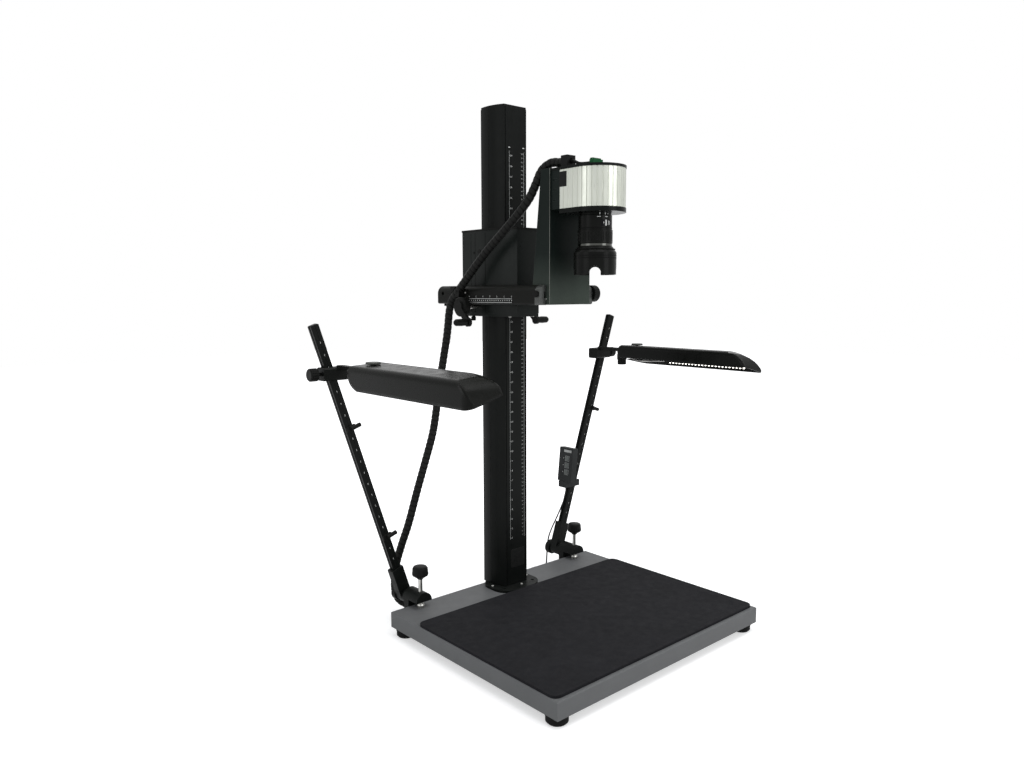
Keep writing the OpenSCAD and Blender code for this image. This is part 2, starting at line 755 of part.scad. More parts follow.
module camera_mount() {
    color([0.07, 0.07, 0.07]) difference() {
        translate([-cam_w / 2, cam_back, cam_z]) cube([cam_w, mount_d, cam_h]);
        for (s = [-1, 1], z = [20, cam_h / 2, cam_h - 20])
            translate([s * (cam_w / 2 + 1), cam_back + 6, cam_z + z])
                rotate([-90, 0, 0]) cylinder(r = 2.2, h = mount_d - 12, $fn = 24);
    }
}

// Camera outline in plan: straight sides and a round front about the lens axis
module camera_outline(e = 0, back = 0) {
    r = cam_w / 2 + e;
    union() {
        intersection() {
            translate([0, -body_y]) circle(r = r, $fn = 128);
            translate([-r, -body_y - r]) square([2 * r, r]);
        }
        translate([-r, -body_y]) square([2 * r, body_y + cam_back + back]);
    }
}

module camera_body() {
    n = 17;
    color([0.78, 0.8, 0.78]) translate([0, 0, cam_z]) linear_extrude(cam_h) difference() {
        camera_outline();
        for (i = [0:n]) let(a = 180 + i * 180 / n)
            translate([cam_w / 2 * cos(a), -body_y + cam_w / 2 * sin(a)])
                circle(r = flute_r, $fn = 16);
        for (s = [-1, 1], y = [14, 28, 42]) translate([s * cam_w / 2, -body_y + y])
            circle(r = flute_r, $fn = 16);
    }
}

module camera_cover() {
    color([0.08, 0.08, 0.08]) translate([0, 0, cam_top]) union() {
        linear_extrude(cover_t) camera_outline(1, plate_y - cam_back - 0.2);
    }
}

module camera_base() {
    color([0.07, 0.07, 0.07]) difference() {
        translate([0, 0, under_z]) linear_extrude(under_t) camera_outline(1, 0);
        translate([0, -lens_y, under_z - 1]) cylinder(r = neck_r, h = 5);
    }
}

// Holder of the harness's end and the green terminal block on the camera's cover
module cable_anchor() {
    color([0.1, 0.3, 0.2]) translate([0, 0, cam_top + cover_t]) {
        difference() {
            translate([-55, -22, 0]) cube([26, 20, 26]);
            translate([-42, -26, 13]) rotate([-90, 0, 0]) cylinder(d = 12, h = 17);
        }
        translate([-48, -94, 0]) cube([30, 12, 9]);
        translate([-46, -90, 9]) cube([26, 8, 3]);
    }
}

// Barrel: the upper tube, the neck that the focus ring turns on, the bare ring and cone
module lens_barrel() {
    color([0.06, 0.06, 0.06]) translate([0, -lens_y, 0]) rotate_extrude()
        polygon([[0, under_z + 4], [neck_r, under_z + 4], [neck_r, under_z],
            [barrel_d / 2 - 2, under_z], [barrel_d / 2 - 2, under_z - 5],
            [barrel_d / 2, under_z - 6], [barrel_d / 2, barrel_z], [neck_r, barrel_z],
            [neck_r, focus_z], [barrel_d / 2, focus_z], [barrel_d / 2, trim_z],
            [barrel_d / 2 + 2, trim_z - 1], [hood_d / 2, cone_z],
            [filter_d / 2, cone_z], [filter_d / 2, cone_z + 7],
            [filter_d / 2 - 4, cone_z + 9], [24, cone_z + 12], [0, cone_z + 14]]);
}

module focus_ring() {
    n = 36;
    color([0.08, 0.08, 0.08]) translate([0, -lens_y, focus_z + 0.3]) difference() {
        cylinder(d = focus_d, h = focus_h - 0.6, $fn = 96);
        translate([0, 0, -1]) cylinder(r = neck_r + run, h = focus_h + 2);
        for (i = [0:n - 1]) rotate([0, 0, i * 360 / n]) translate([focus_d / 2 + 0.4, 0, 5])
            cylinder(r = 1.3, h = focus_h - 11, $fn = 14);
    }
}

// Hood with a long petal in front and behind and shorter ones at the sides
module lens_hood() {
    color([0.08, 0.08, 0.08]) translate([0, -lens_y, hood_z]) difference() {
        cylinder(d = hood_d, h = hood_h, $fn = 96);
        translate([0, 0, -1]) cylinder(d = hood_d - 2 * hood_wall, h = hood_h - 1, $fn = 96);
        translate([0, 0, hood_h - 3]) cylinder(d = filter_d + 8, h = 4);
        for (a = [42, 138]) rotate([0, 0, a]) {
            translate([-hood_d, 0, 6]) rotate([0, 90, 0]) cylinder(r = 13, h = 2 * hood_d);
            translate([-hood_d, -13, -1]) cube([2 * hood_d, 26, 7]);
        }
    }
}

// Tilt bolt through both bars and the bracket, with its knob beside the right bar
module tilt_knob() {
    color([0.09, 0.09, 0.09]) translate([0, tilt_y, tilt_z]) rotate([0, 90, 0]) {
        translate([0, 0, -bar_out - 0.3]) cylinder(d = tilt_bolt_d, h = 2 * bar_out + 0.8);
        translate([0, 0, -bar_out - 4.3]) cylinder(d = tilt_bolt_d + 6, h = 4);
        translate([0, 0, bar_out + 0.3]) ribbed_knob(tilt_knob_d, tilt_knob_t, 24);
    }
}

// Clamp body over the board's rear edge, drawn for the right-hand side
module lamp_clamp(side) {
    mirror_side(side) translate([stand_x, 0, 0]) difference() {
        union() {
            translate([0, clamp_back, clamp_z]) rotate([90, 0, 0])
                intersection() {
                    cylinder(d = clamp_w, h = clamp_back - clamp_front);
                    translate([-clamp_w, 0, -1]) cube([2 * clamp_w, clamp_w, 200]);
                }
            translate([-20, rear_y + 1, board_low - jaw_t])
                cube([40, clamp_back - rear_y - 1, clamp_z - board_low + jaw_t + 2]);
            translate([-20, clamp_front, board_low - jaw_t])
                cube([40, clamp_back - clamp_front, jaw_t]);
            translate([0, clamp_back, pivot_z]) rotate([-90, 0, 0]) cylinder(d = 34, h = 9);
        }
        translate([0, screw_y, clamp_z - 1]) cylinder(r = screw_d / 2 + run, h = clamp_w);
        translate([0, clamp_back - 16, pivot_z]) rotate([-90, 0, 0])
            cylinder(r = pivot_d / 2 + run, h = 40);
    }
}
module lamp_clamp_left() color([0.08, 0.08, 0.08]) lamp_clamp(-1);
module lamp_clamp_right() color([0.08, 0.08, 0.08]) lamp_clamp(1);

module clamp_screw(side) {
    head = clamp_z + clamp_w / 2 + 32;
    r = screw_head_d / 2;
    mirror_side(side) translate([stand_x, screw_y, 0]) union() {
        translate([0, 0, board_top]) rotate_extrude() polygon([[0, 0], [9.2, 0],
            [9.2, 5], [7.5, pad_t], [0, pad_t]]);
        translate([0, 0, board_top + pad_t - 1]) cylinder(d = screw_d, h = head - board_top);
        translate([0, 0, head]) difference() {
            rotate_extrude() polygon([[0, 0], [7.5, 0], [8.5, 2], [r - 6, 5.5], [r - 1, 9],
                [r, 12], [r - 1.4, 27], [r - 4, 30.5], [r - 9, 31.6], [0, 32]]);
            for (i = [0:17]) rotate([0, 0, i * 20])
                translate([r + 0.9, 0, 6]) cylinder(r = 2, h = 30, $fn = 20);
        }
    }
}
module clamp_screw_left() color([0.1, 0.1, 0.1]) clamp_screw(-1);
module clamp_screw_right() color([0.1, 0.1, 0.1]) clamp_screw(1);

// Frame of a leaning bar: origin on the pivot axis in the bar's plane, bar along +Z
module on_bar(side) {
    mirror_side(side) translate([stand_x, lamp_bar_y, pivot_z]) rotate([0, lean, 0])
        children();
}

module bar_socket(side) {
    front = lamp_bar_y - clamp_back - 9 - 0.3;
    on_bar(side) difference() {
        union() {
            translate([-socket_w / 2, -socket_t / 2, 0]) cube([socket_w, socket_t, socket_l]);
            translate([0, -front, 0]) rotate([-90, 0, 0]) cylinder(r = socket_w / 2, h = front);
            rotate([90, 0, 0]) translate([0, 0, -socket_t / 2])
                cylinder(r = socket_w / 2, h = socket_t);
        }
        translate([-lamp_bar_w / 2, -lamp_bar_t / 2, socket_low])
            cube([lamp_bar_w, lamp_bar_t, socket_l]);
        translate([0, -front - 1, 0]) rotate([-90, 0, 0])
            cylinder(r = pivot_d / 2 + run, h = front + socket_t);
    }
}
module bar_socket_left() color([0.08, 0.08, 0.08]) bar_socket(-1);
module bar_socket_right() color([0.08, 0.08, 0.08]) bar_socket(1);

// Slotted bar: a T-slot in each broad and narrow face
module lamp_bar(side) {
    on_bar(side) translate([0, 0, socket_low]) linear_extrude(lamp_bar_top - socket_low)
        difference() {
            translate([-lamp_bar_w / 2, -lamp_bar_t / 2]) square([lamp_bar_w, lamp_bar_t]);
            for (s = [-1, 1]) translate([s * lamp_bar_w / 2, 0])
                square([6, 4.4], center = true);
            for (s = [-1, 1]) translate([0, s * lamp_bar_t / 2])
                square([1.6, 1.4], center = true);
            circle(r = 2.5);
        }
}
module lamp_bar_left() color([0.1, 0.1, 0.1]) lamp_bar(-1);
module lamp_bar_right() color([0.1, 0.1, 0.1]) lamp_bar(1);

module pivot_knob(side) {
    from = clamp_back - 15;
    face = lamp_bar_y + socket_t / 2 + 0.3;
    mirror_side(side) translate([stand_x, 0, pivot_z]) rotate([-90, 0, 0]) union() {
        translate([0, 0, from]) cylinder(d = pivot_d, h = face - from + 1);
        translate([0, 0, face]) ribbed_knob(pivot_knob_d, 18, 18, 1.6);
    }
}
module pivot_knob_left() color([0.08, 0.08, 0.08]) pivot_knob(-1);
module pivot_knob_right() color([0.08, 0.08, 0.08]) pivot_knob(1);

// Block round the bar, strap to the lamp, swivel pin with its flat cap
module slide_clamp(side) {
    g = slide_gap;
    mirror_side(side) difference() {
        union() {
            translate([block_x, lamp_bar_y, slide_z]) difference() {
                translate([-block_w / 2, -block_d / 2, -block_h / 2])
                    cube([block_w, block_d, block_h]);
                for (s = [-1, 1], t = [-1, 1]) translate([0, s * block_d / 2, t * block_h / 2])
                    rotate([45, 0, 0]) cube([block_w + 2, 5, 5], center = true);
            }
            translate([lamp_x - strap_w / 2, lamp_y, strap_z])
                cube([strap_w, lamp_bar_y - lamp_y - 10, strap_t]);
            translate([lamp_x, lamp_y, strap_z]) cylinder(d = strap_w, h = strap_t);
            translate([lamp_x, lamp_y, strap_top - 1])
                cylinder(d = pin_d, h = lamp_top + cap_up + 2 - strap_top);
            translate([lamp_x, lamp_y, lamp_top + cap_up]) rotate_extrude()
                polygon([[0, 0], [cap_r - 1, 0], [cap_r, 1], [cap_r, 3.4],
                    [cap_r - 1, 4.4], [0, 5]]);
        }
        translate([slide_x, lamp_bar_y, slide_z]) rotate([0, lean, 0])
            translate([-lamp_bar_w / 2 - g, -lamp_bar_t / 2 - g, -80])
                cube([lamp_bar_w + 2 * g, lamp_bar_t + 2 * g, 160]);
        translate([slide_x, lamp_bar_y, slide_z]) rotate([0, 90, 0])
            cylinder(r = 4 + run, h = 200);
        translate([lamp_x, lamp_knob_y, strap_z - 1]) cylinder(r = 4 + run, h = strap_t - 2);
    }
}
module slide_clamp_left() color([0.08, 0.08, 0.08]) slide_clamp(-1);
module slide_clamp_right() color([0.08, 0.08, 0.08]) slide_clamp(1);

module slide_knob(side) {
    out = block_x + block_w / 2;
    tip = slide_x + lamp_bar_w / 2 / cos(lean) + 2.2;
    mirror_side(side) translate([0, lamp_bar_y, slide_z]) rotate([0, 90, 0]) union() {
        translate([0, 0, tip]) cylinder(r = 4, h = out + 12 - tip);
        translate([0, 0, out + 10]) ribbed_knob(slide_knob_d, 20, 14, 1.6);
    }
}
module slide_knob_left() color([0.09, 0.09, 0.09]) slide_knob(-1);
module slide_knob_right() color([0.09, 0.09, 0.09]) slide_knob(1);

// Shade of a lamp: a cross-section run along Y, cut by the outline seen from the side and
// by a long rounding that runs slantwise across the nose, from rear left to front right on
// both lamps. e draws the form in by the wall.
module shade_form(side, e) {
    k = (side + 1) / 2;
    xo = lamp_out_x - e;
    xi = lamp_in_x + e;
    zt = lamp_top - lamp_rise / 2 - e;
    drop = 100 * (e > 0 ? 1 : 0);
    cr = 12 - e;
    fr = 18 - e;
    intersection() {
        translate([0, lamp_back - e, 0]) rotate([90, 0, 0]) linear_extrude(lamp_l)
            polygon(concat([[xi, lamp_edge - lamp_in_h - drop],
                [xo, zt + e - lamp_out_h - drop]],
                arc_pts(xo - cr, zt - cr, cr, 0, 84, 6),
                [[xi + 6, lamp_edge - e - 0.4], [xi, lamp_edge - e - 4]]));
        translate([lamp_in_x - 10, 0, lamp_edge]) rotate([90, 0, 90])
            linear_extrude(lamp_w + 20) polygon(concat(
                [[lamp_back - e, -13], [lamp_back - e - 10, 1 - e]],
                [for (a = [0:9:81]) [lamp_tip + front_l - (front_l - e) * sin(a),
                    1 - e - (front_h - e) * (1 - cos(a))]],
                [[lamp_tip + e, 1 - front_h], [lamp_tip + e, -120], [lamp_back - 55, -120]],
                [for (a = [-90:10:0]) [lamp_back - 55 + (55 - e) * cos(a),
                    -22 + (37 - e) * sin(a)]]));
        translate([lamp_in_x + k * lamp_w, lamp_tip, lamp_edge - k * lamp_rise])
            rotate([0, 0, -nose_turn[k]]) rotate([90, 0, 90]) translate([0, 0, -450])
            linear_extrude(900) polygon(concat([[e, -200], [500, -200], [500, 1 - e + 6 * k]],
                [[nose_l[k], 1 - e + 6 * k]],
                [for (a = [0:9:81]) [nose_l[k] - (nose_l[k] - e) * sin(a),
                    1 - e - (nose_h[k] - e) * (1 - cos(a))]], [[e, 1 - nose_h[k]]]));
        translate([0, 0, lamp_edge - 160]) linear_extrude(170)
            polygon(concat([[xi, lamp_back], [xo, lamp_back]],
                arc_pts(xo - fr, lamp_tip + e + fr, fr, 0, -90, 8), [[xi, lamp_tip + e]]));
    }
}

module lamp_shade(side) {
    mirror_side(side) difference() {
        shade_form(side, 0);
        shade_form(side, lamp_wall);
        translate([lamp_x - notch_half, lamp_back - 12, strap_z - 40])
            cube([2 * notch_half, 20, strap_t + 40.8]);
        translate([lamp_x, lamp_y, strap_top]) cylinder(r = pin_d / 2 + run, h = 60);
    }
}
module lamp_shade_left() color([0.1, 0.1, 0.1]) lamp_shade(-1);
module lamp_shade_right() color([0.1, 0.1, 0.1]) lamp_shade(1);

// Strip behind the inner wall, with a row of light spots along its lower edge
module led_strip(side) {
    y0 = lamp_tip + 14;
    y1 = y0 + 238;
    z0 = lamp_edge - lamp_in_h - 3;
    x0 = lamp_in_x + lamp_wall;
    mirror_side(side) union() {
        translate([x0, y0, z0]) cube([4, y1 - y0, 7]);
        translate([x0, y0, z0]) cube([24, y1 - y0, 3]);
        for (i = [0:led_n - 1])
            translate([x0 + 19, y0 + 5 + i * (y1 - y0 - 10) / (led_n - 1), z0 - 1.5])
                cylinder(d = 5, h = 2, $fn = 20);
    }
}
module led_strip_left() color([1, 0.97, 0.9]) led_strip(-1);
module led_strip_right() color([1, 0.97, 0.9]) led_strip(1);

module lamp_knob(side) {
    mirror_side(side) translate([lamp_x, lamp_knob_y, strap_z - 0.3 - 24]) union() {
        ribbed_knob(lamp_knob_d, 18, 16, 1.6);
        translate([0, 0, 17]) cylinder(d = 15, h = 7);
        translate([0, 0, 17]) cylinder(r = 4, h = 14);
    }
}
module lamp_knob_left() color([0.08, 0.08, 0.08]) lamp_knob(-1);
module lamp_knob_right() color([0.08, 0.08, 0.08]) lamp_knob(1);

// Frame of the controller: origin at its centre, buttons facing -X
module on_controller() {
    translate([ctl_x, ctl_y, ctl_z]) rotate([0, ctl_lean, 0]) children();
}
button_zs = [18, -2, -22];
button_gap = 0.3;

module controller() {
    reach = stand_x + (ctl_low - pivot_z) * tan(lean) - ctl_x;
    color([0.25, 0.26, 0.26]) difference() {
        union() {
            on_controller() difference() {
                translate([-ctl_t / 2, -ctl_w / 2, -ctl_h / 2]) cube([ctl_t, ctl_w, ctl_h]);
                for (z = button_zs)
                    translate([-ctl_t / 2 - 1, -button_w / 2 - button_gap - 6,
                        z - button_w / 2 - button_gap])
                        cube([6, button_w + 2 * button_gap, button_w + 2 * button_gap]);
            }
            translate([ctl_x - 18, ctl_y - 10, ctl_low + 3 - ctl_clip_h])
                cube([reach + 18 + 12, 30, ctl_clip_h]);
        }
        on_bar(1) translate([-lamp_bar_w / 2, -lamp_bar_t / 2, 0])
            cube([lamp_bar_w, lamp_bar_t, lamp_bar_top]);
    }
}

module button(z) {
    color([0.5, 0.52, 0.5]) on_controller()
        translate([-ctl_t / 2 - 1.6, -button_w / 2 - 6, z - button_w / 2])
            cube([5, button_w, button_w]);
}
module button_top() button(button_zs[0]);
module button_middle() button(button_zs[1]);
module button_bottom() button(button_zs[2]);

// Tube swept along a route with n sides; every ring stands square to the route
function unit(v) = v / norm(v);
function tangent(p, i) = unit(p[min(i + 1, len(p) - 1)] - p[max(i - 1, 0)]);
function rib(a, b, c, d, t) = 0.5 * ((2 * b) + (c - a) * t + (2 * a - 5 * b + 4 * c - d) * t * t
    + (3 * b - a - 3 * c + d) * t * t * t);
function smooth(p, k) = let(m = len(p) - 1) concat([for (i = [0:m - 1], j = [0:k - 1])
    rib(p[max(i - 1, 0)], p[i], p[i + 1], p[min(i + 2, m)], j / k)], [p[m]]);
function frames(p, i = 0, up = [0, 1, 0.02]) = i >= len(p) ? [] :
    let(t = tangent(p, i), u = unit(up - t * (up * t))) concat([u], frames(p, i + 1, u));
module tube(route, d, n, k) {
    p = smooth(route, k);
    f = frames(p);
    m = len(p);
    pts = [for (i = [0:m - 1]) let(t = tangent(p, i), u = f[i], v = cross(t, u))
        for (j = [0:n - 1]) p[i] + d / 2 * (u * cos(j * 360 / n) + v * sin(j * 360 / n))];
    polyhedron(pts, concat([[for (j = [0:n - 1]) j]],
        [for (i = [0:m - 2], j = [0:n - 1]) let(a = i * n + j, b = i * n + (j + 1) % n)
            [a, a + n, b + n, b]],
        [[for (j = [n - 1:-1:0]) (m - 1) * n + j]]), convexity = 10);
}

module harness_lower() color([0.05, 0.05, 0.05]) tube(ROUTE_LOW, harness_d, 10, 2);
module harness_middle() color([0.05, 0.05, 0.05]) tube(ROUTE_MID, harness_d, 10, 1);
module harness_upper() color([0.05, 0.05, 0.05]) tube(ROUTE_TOP, harness_d, 10, 1);

// Connector shell at the harness's end on the floor
module harness_plug() {
    r = harness_d / 2;
    color([0.15, 0.15, 0.15]) translate([214, 344, harness_floor]) rotate([0, 90, 0])
        rotate_extrude() polygon([[0, 0], [r - 1, 0], [r, 8], [r, 34], [r - 1, 35],
            [r - 1, 44], [r - 2.5, 44], [r - 2.5, 36], [0, 36]]);
}

module controller_lead() color([0.06, 0.06, 0.06]) tube(ROUTE_LEAD, lead_d, 8, 3);

module lead_plug() {
    color([0.12, 0.12, 0.12]) translate([206, 385, floor_z + 4]) rotate([0, 90, 0])
        rotate_extrude() polygon([[0, 0], [2.6, 0], [4, 10], [4, 28], [2.5, 28], [2.5, 40],
            [0, 40]]);
}

board();
mat();
feet();
column_flange();
column();
gear_rack();
column_cap();
carriage_housing();
carriage_lid();
carriage_base();
crank_shaft();
cranks();
crank_grip_left();
crank_grip_right();
drag_screw();
arm_bar_left();
arm_bar_right();
arm_cross_bar();
cable_clip();
bracket();
camera_mount();
camera_body();
camera_cover();
camera_base();
cable_anchor();
lens_barrel();
focus_ring();
lens_hood();
tilt_knob();
lamp_clamp_left();
lamp_clamp_right();
clamp_screw_left();
clamp_screw_right();
bar_socket_left();
bar_socket_right();
lamp_bar_left();
lamp_bar_right();
pivot_knob_left();
pivot_knob_right();
slide_clamp_left();
slide_clamp_right();
slide_knob_left();
slide_knob_right();
lamp_shade_left();
lamp_shade_right();
led_strip_left();
led_strip_right();
lamp_knob_left();
lamp_knob_right();
controller();
button_top();
button_middle();
button_bottom();
harness_lower();
harness_middle();
harness_upper();
harness_plug();
controller_lead();
lead_plug();
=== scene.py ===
"""Looks of the copy stand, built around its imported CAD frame. Lengths are in metres."""

import math

import bmesh
import bpy
from mathutils import Matrix, Vector
from mathutils.bvhtree import BVHTree


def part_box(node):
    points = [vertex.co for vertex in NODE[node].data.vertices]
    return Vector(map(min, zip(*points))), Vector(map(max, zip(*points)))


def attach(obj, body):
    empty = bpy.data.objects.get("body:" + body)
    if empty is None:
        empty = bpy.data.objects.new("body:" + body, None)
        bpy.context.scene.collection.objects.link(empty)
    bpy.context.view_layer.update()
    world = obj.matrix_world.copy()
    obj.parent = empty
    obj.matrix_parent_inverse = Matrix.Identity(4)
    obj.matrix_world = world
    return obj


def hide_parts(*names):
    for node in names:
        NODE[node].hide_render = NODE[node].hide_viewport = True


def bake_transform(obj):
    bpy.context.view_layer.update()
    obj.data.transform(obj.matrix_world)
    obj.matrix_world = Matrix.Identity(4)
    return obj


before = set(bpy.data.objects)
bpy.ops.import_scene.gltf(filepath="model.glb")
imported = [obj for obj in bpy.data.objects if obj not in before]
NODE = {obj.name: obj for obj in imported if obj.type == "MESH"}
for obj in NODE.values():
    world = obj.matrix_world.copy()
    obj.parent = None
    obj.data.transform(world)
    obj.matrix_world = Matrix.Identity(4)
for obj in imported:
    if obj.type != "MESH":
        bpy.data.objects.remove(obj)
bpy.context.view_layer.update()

MM = 0.001
FLOOR_Z = -0.064

# ---------------------------------------------------------------- camera
# fitted to the photograph, whose pixels give the focal length and the shift
YAW, PITCH, ROLL = (math.radians(a) for a in (41.15, 6.65, -0.22))
CAMERA_PLACE = (-1.3293, -1.2791, 0.7587)
PHOTO_WIDTH = 1024
FOCAL_LENGTH = 789.84
SHIFT = 4
SENSOR_WIDTH = 36


def make_camera():
    """Camera at the photograph's place."""
    look = Vector((math.sin(YAW) * math.cos(PITCH), math.cos(YAW) * math.cos(PITCH),
                   -math.sin(PITCH)))
    right0 = Vector((math.cos(YAW), -math.sin(YAW), 0))
    up0 = right0.cross(look)
    right = math.cos(ROLL) * right0 + math.sin(ROLL) * up0
    up = -math.sin(ROLL) * right0 + math.cos(ROLL) * up0
    data = bpy.data.cameras.new("camera")
    data.sensor_width = SENSOR_WIDTH
    data.lens = FOCAL_LENGTH / PHOTO_WIDTH * SENSOR_WIDTH
    data.shift_x = SHIFT / PHOTO_WIDTH
    data.clip_end = 60
    cam = bpy.data.objects.new("camera", data)
    rot = Matrix((right, up, -look)).transposed().to_4x4()
    cam.matrix_world = Matrix.Translation(CAMERA_PLACE) @ rot
    bpy.context.scene.collection.objects.link(cam)
    bpy.context.scene.camera = cam


make_camera()


# ---------------------------------------------------------------- mesh helpers
def new_object(name, bm, smooth=30):
    """Object of a bmesh, smooth below the given angle in degrees (0 leaves it flat)."""
    mesh = bpy.data.meshes.new(name)
    bmesh.ops.recalc_face_normals(bm, faces=bm.faces)
    bm.to_mesh(mesh)
    bm.free()
    ob = bpy.data.objects.new(name, mesh)
    bpy.context.scene.collection.objects.link(ob)
    if smooth:
        mesh.shade_smooth()
        mesh.set_sharp_from_angle(angle=math.radians(smooth))
    return ob


def sweep(points, radius, sides):
    """Rings of a tube of the given radius along points."""
    pts = [Vector(p) for p in points]
    n = len(pts)
    ref = None
    rings = []
    for i, p in enumerate(pts):
        t = (pts[min(i + 1, n - 1)] - pts[max(i - 1, 0)]).normalized()
        if ref is None:
            ref = Vector((0, 1, 0.02)) if abs(t.y) < 0.9 else Vector((1, 0, 0.02))
        ref = (ref - t * ref.dot(t)).normalized()
        side = t.cross(ref)
        ring = []
        for k in range(sides):
            a = 2 * math.pi * k / sides
            ring.append(p + (ref * math.cos(a) + side * math.sin(a)) * radius)
        rings.append(ring)
    return rings


def skin(bm, rows, capped=True):
    """Faces between rows of vertices of equal length, and over the first and last row."""
    m = len(rows[0])
    for a, b in zip(rows, rows[1:]):
        for k in range(m):
            bm.faces.new((a[k], a[(k + 1) % m], b[(k + 1) % m], b[k]))
    if capped:
        bm.faces.new(rows[0][::-1])
        bm.faces.new(rows[-1])


def rings_to_bmesh(rings):
    """Closed tube over rings of points."""
    bm = bmesh.new()
    skin(bm, [[bm.verts.new(p) for p in ring] for ring in rings])
    return bm


def catmull(points, k):
    """Points along a smooth curve through the given ones, k to each stretch."""
    pts = [Vector(p) for p in points]
    m = len(pts) - 1
    out = []
    for i in range(m):
        a, b = pts[max(i - 1, 0)], pts[i]
        c, d = pts[i + 1], pts[min(i + 2, m)]
        for j in range(k):
            t = j / k
            out.append(0.5 * (2 * b + (c - a) * t + (2 * a - 5 * b + 4 * c - d) * t * t
                              + (3 * b - a - 3 * c + d) * t ** 3))
    return out + [pts[m]]


# ---------------------------------------------------------------- materials
class Nodes:
    """Short way to add and join shader nodes."""

    def __init__(self, name):
        self.mat = bpy.data.materials.new(name)
        self.mat.use_nodes = True
        self.tree = self.mat.node_tree
        self.tree.nodes.clear()
        self.out = self.add("OutputMaterial")

    def add(self, kind, **inputs):
        node = self.tree.nodes.new("ShaderNode" + kind)
        self.put(node, **inputs)
        return node

    def put(self, node, **inputs):
        """Sets or links inputs by name, with _ for a space, or by number as i0, i1, ..."""
        for key, value in inputs.items():
            by_number = key[0] == "i" and key[1:].isdigit()
            sock = node.inputs[int(key[1:]) if by_number else key.replace("_", " ")]
            if isinstance(value, bpy.types.NodeSocket):
                self.tree.links.new(value, sock)
            else:
                sock.default_value = value

    def noise(self, scale, detail=3, rough=0.5, vector=None):
        node = self.add("TexNoise", Scale=scale, Detail=detail, Roughness=rough,
                        Vector=vector or self.coords())
        return node.outputs["Fac"]

    def coords(self):
        if not hasattr(self, "_coords"):
            self._coords = self.add("TexCoord").outputs["Object"]
        return self._coords

    def remap(self, value, a, b, lo=0.0, hi=1.0):
        node = self.add("MapRange", Value=value, From_Min=a, From_Max=b, To_Min=lo, To_Max=hi)
        return node.outputs["Result"]

    def mix(self, fac, a, b, blend="MIX"):
        node = self.add("Mix")
        node.data_type = "RGBA"
        node.blend_type = blend
        self.put(node, i0=fac, i6=a, i7=b)
        return node.outputs[2]

    def math(self, op, a, b=0.0):
        node = self.add("Math", i0=a, i1=b)
        node.operation = op
        return node.outputs[0]


def rgba(c):
    """Opaque colour of three values."""
    return (*c, 1)


def surface(name, base, rough, vary=0.25, grain=900.0, bump=0.25, depth=0.0001,
            wear_and_sheen=0.0, wear_and_sheen_color=None, dust=0.0, soft=0.0, extra=None, **fixed):
    """Painted, moulded or machined surface: mottled colour, fine grain in the bump and the
    roughness, edges lightened partly as rubbed wear and partly as a painted highlight, a little
    dust on what faces up, and edges whose shading runs round over a radius (soft)."""
    n = Nodes(name)
    fixed.setdefault("Specular_IOR_Level", 0.5 if fixed.get("Metallic") else 0.06)
    shader = n.add("BsdfPrincipled", **fixed)
    low = rgba(c * (1 - vary) for c in base)
    high = rgba(min(1, c * (1 + vary)) for c in base)
    color = n.mix(n.remap(n.noise(14, 4), 0.3, 0.7), low, high)
    fine = n.noise(grain, 2, 0.6)
    color = n.mix(n.remap(fine, 0.35, 0.75, 0, 0.5), color, high)
    grain_bump = n.add("Bump", Height=fine, Strength=bump, Distance=depth)
    # painted highlight and rubbed wear: the colour is lightened along the edges
    if wear_and_sheen:
        bevel = n.add("Bevel", Radius=0.0009)
        bevel.samples = 4
        geo = n.add("NewGeometry")
        dot = n.add("VectorMath", i0=bevel.outputs[0], i1=geo.outputs["Normal"])
        dot.operation = "DOT_PRODUCT"
        edge = n.remap(dot.outputs["Value"], 0.995, 0.80)
        patchy = n.remap(n.noise(120, 4, 0.7), 0.35, 0.7, 0.25, 1)
        edge = n.math("MULTIPLY", n.math("MULTIPLY", edge, patchy), wear_and_sheen)
        rubbed_and_sheen = wear_and_sheen_color or [min(1, c * 4 + 0.03) for c in base]
        color = n.mix(edge, color, rgba(rubbed_and_sheen))
        n.put(grain_bump, Normal=bevel.outputs[0])
    if soft:
        bevel = n.add("Bevel", Radius=soft)
        bevel.samples = 8
        n.put(grain_bump, Normal=bevel.outputs[0])
    if dust:
        geo = n.add("NewGeometry")
        up = n.add("SeparateXYZ", Vector=geo.outputs["Normal"]).outputs["Z"]
        amount = n.math("MULTIPLY", n.remap(up, 0.55, 1.0), n.remap(n.noise(60, 5, 0.7),
                                                                    0.4, 0.8, 0, dust))
        color = n.mix(amount, color, (0.32, 0.31, 0.29, 1))
    rough_map = n.remap(n.noise(45, 4, 0.6), 0.3, 0.7, max(0.03, rough - 0.07), rough + 0.07)
    normal = grain_bump.outputs["Normal"]
    if extra:
        color, rough_map, normal, *metal = extra(n, color, rough_map, normal)
        if metal:
            n.put(shader, Metallic=metal[0])
    n.put(shader, Base_Color=color, Roughness=rough_map, Normal=normal)
    n.tree.links.new(shader.outputs[0], n.out.inputs[0])
    return n.mat


def lit(name, color, strength):
    """Surface that gives light, a little uneven as a diffuser is."""
    n = Nodes(name)
    cloud = n.remap(n.noise(90, 3), 0.3, 0.7)
    tone = n.mix(cloud, rgba(color), rgba(min(1, c * 1.06) for c in color))
    shader = n.add("BsdfPrincipled", Roughness=0.35, Base_Color=tone, Emission_Color=tone,
                   Emission_Strength=strength)
    n.tree.links.new(shader.outputs[0], n.out.inputs[0])
    return n.mat


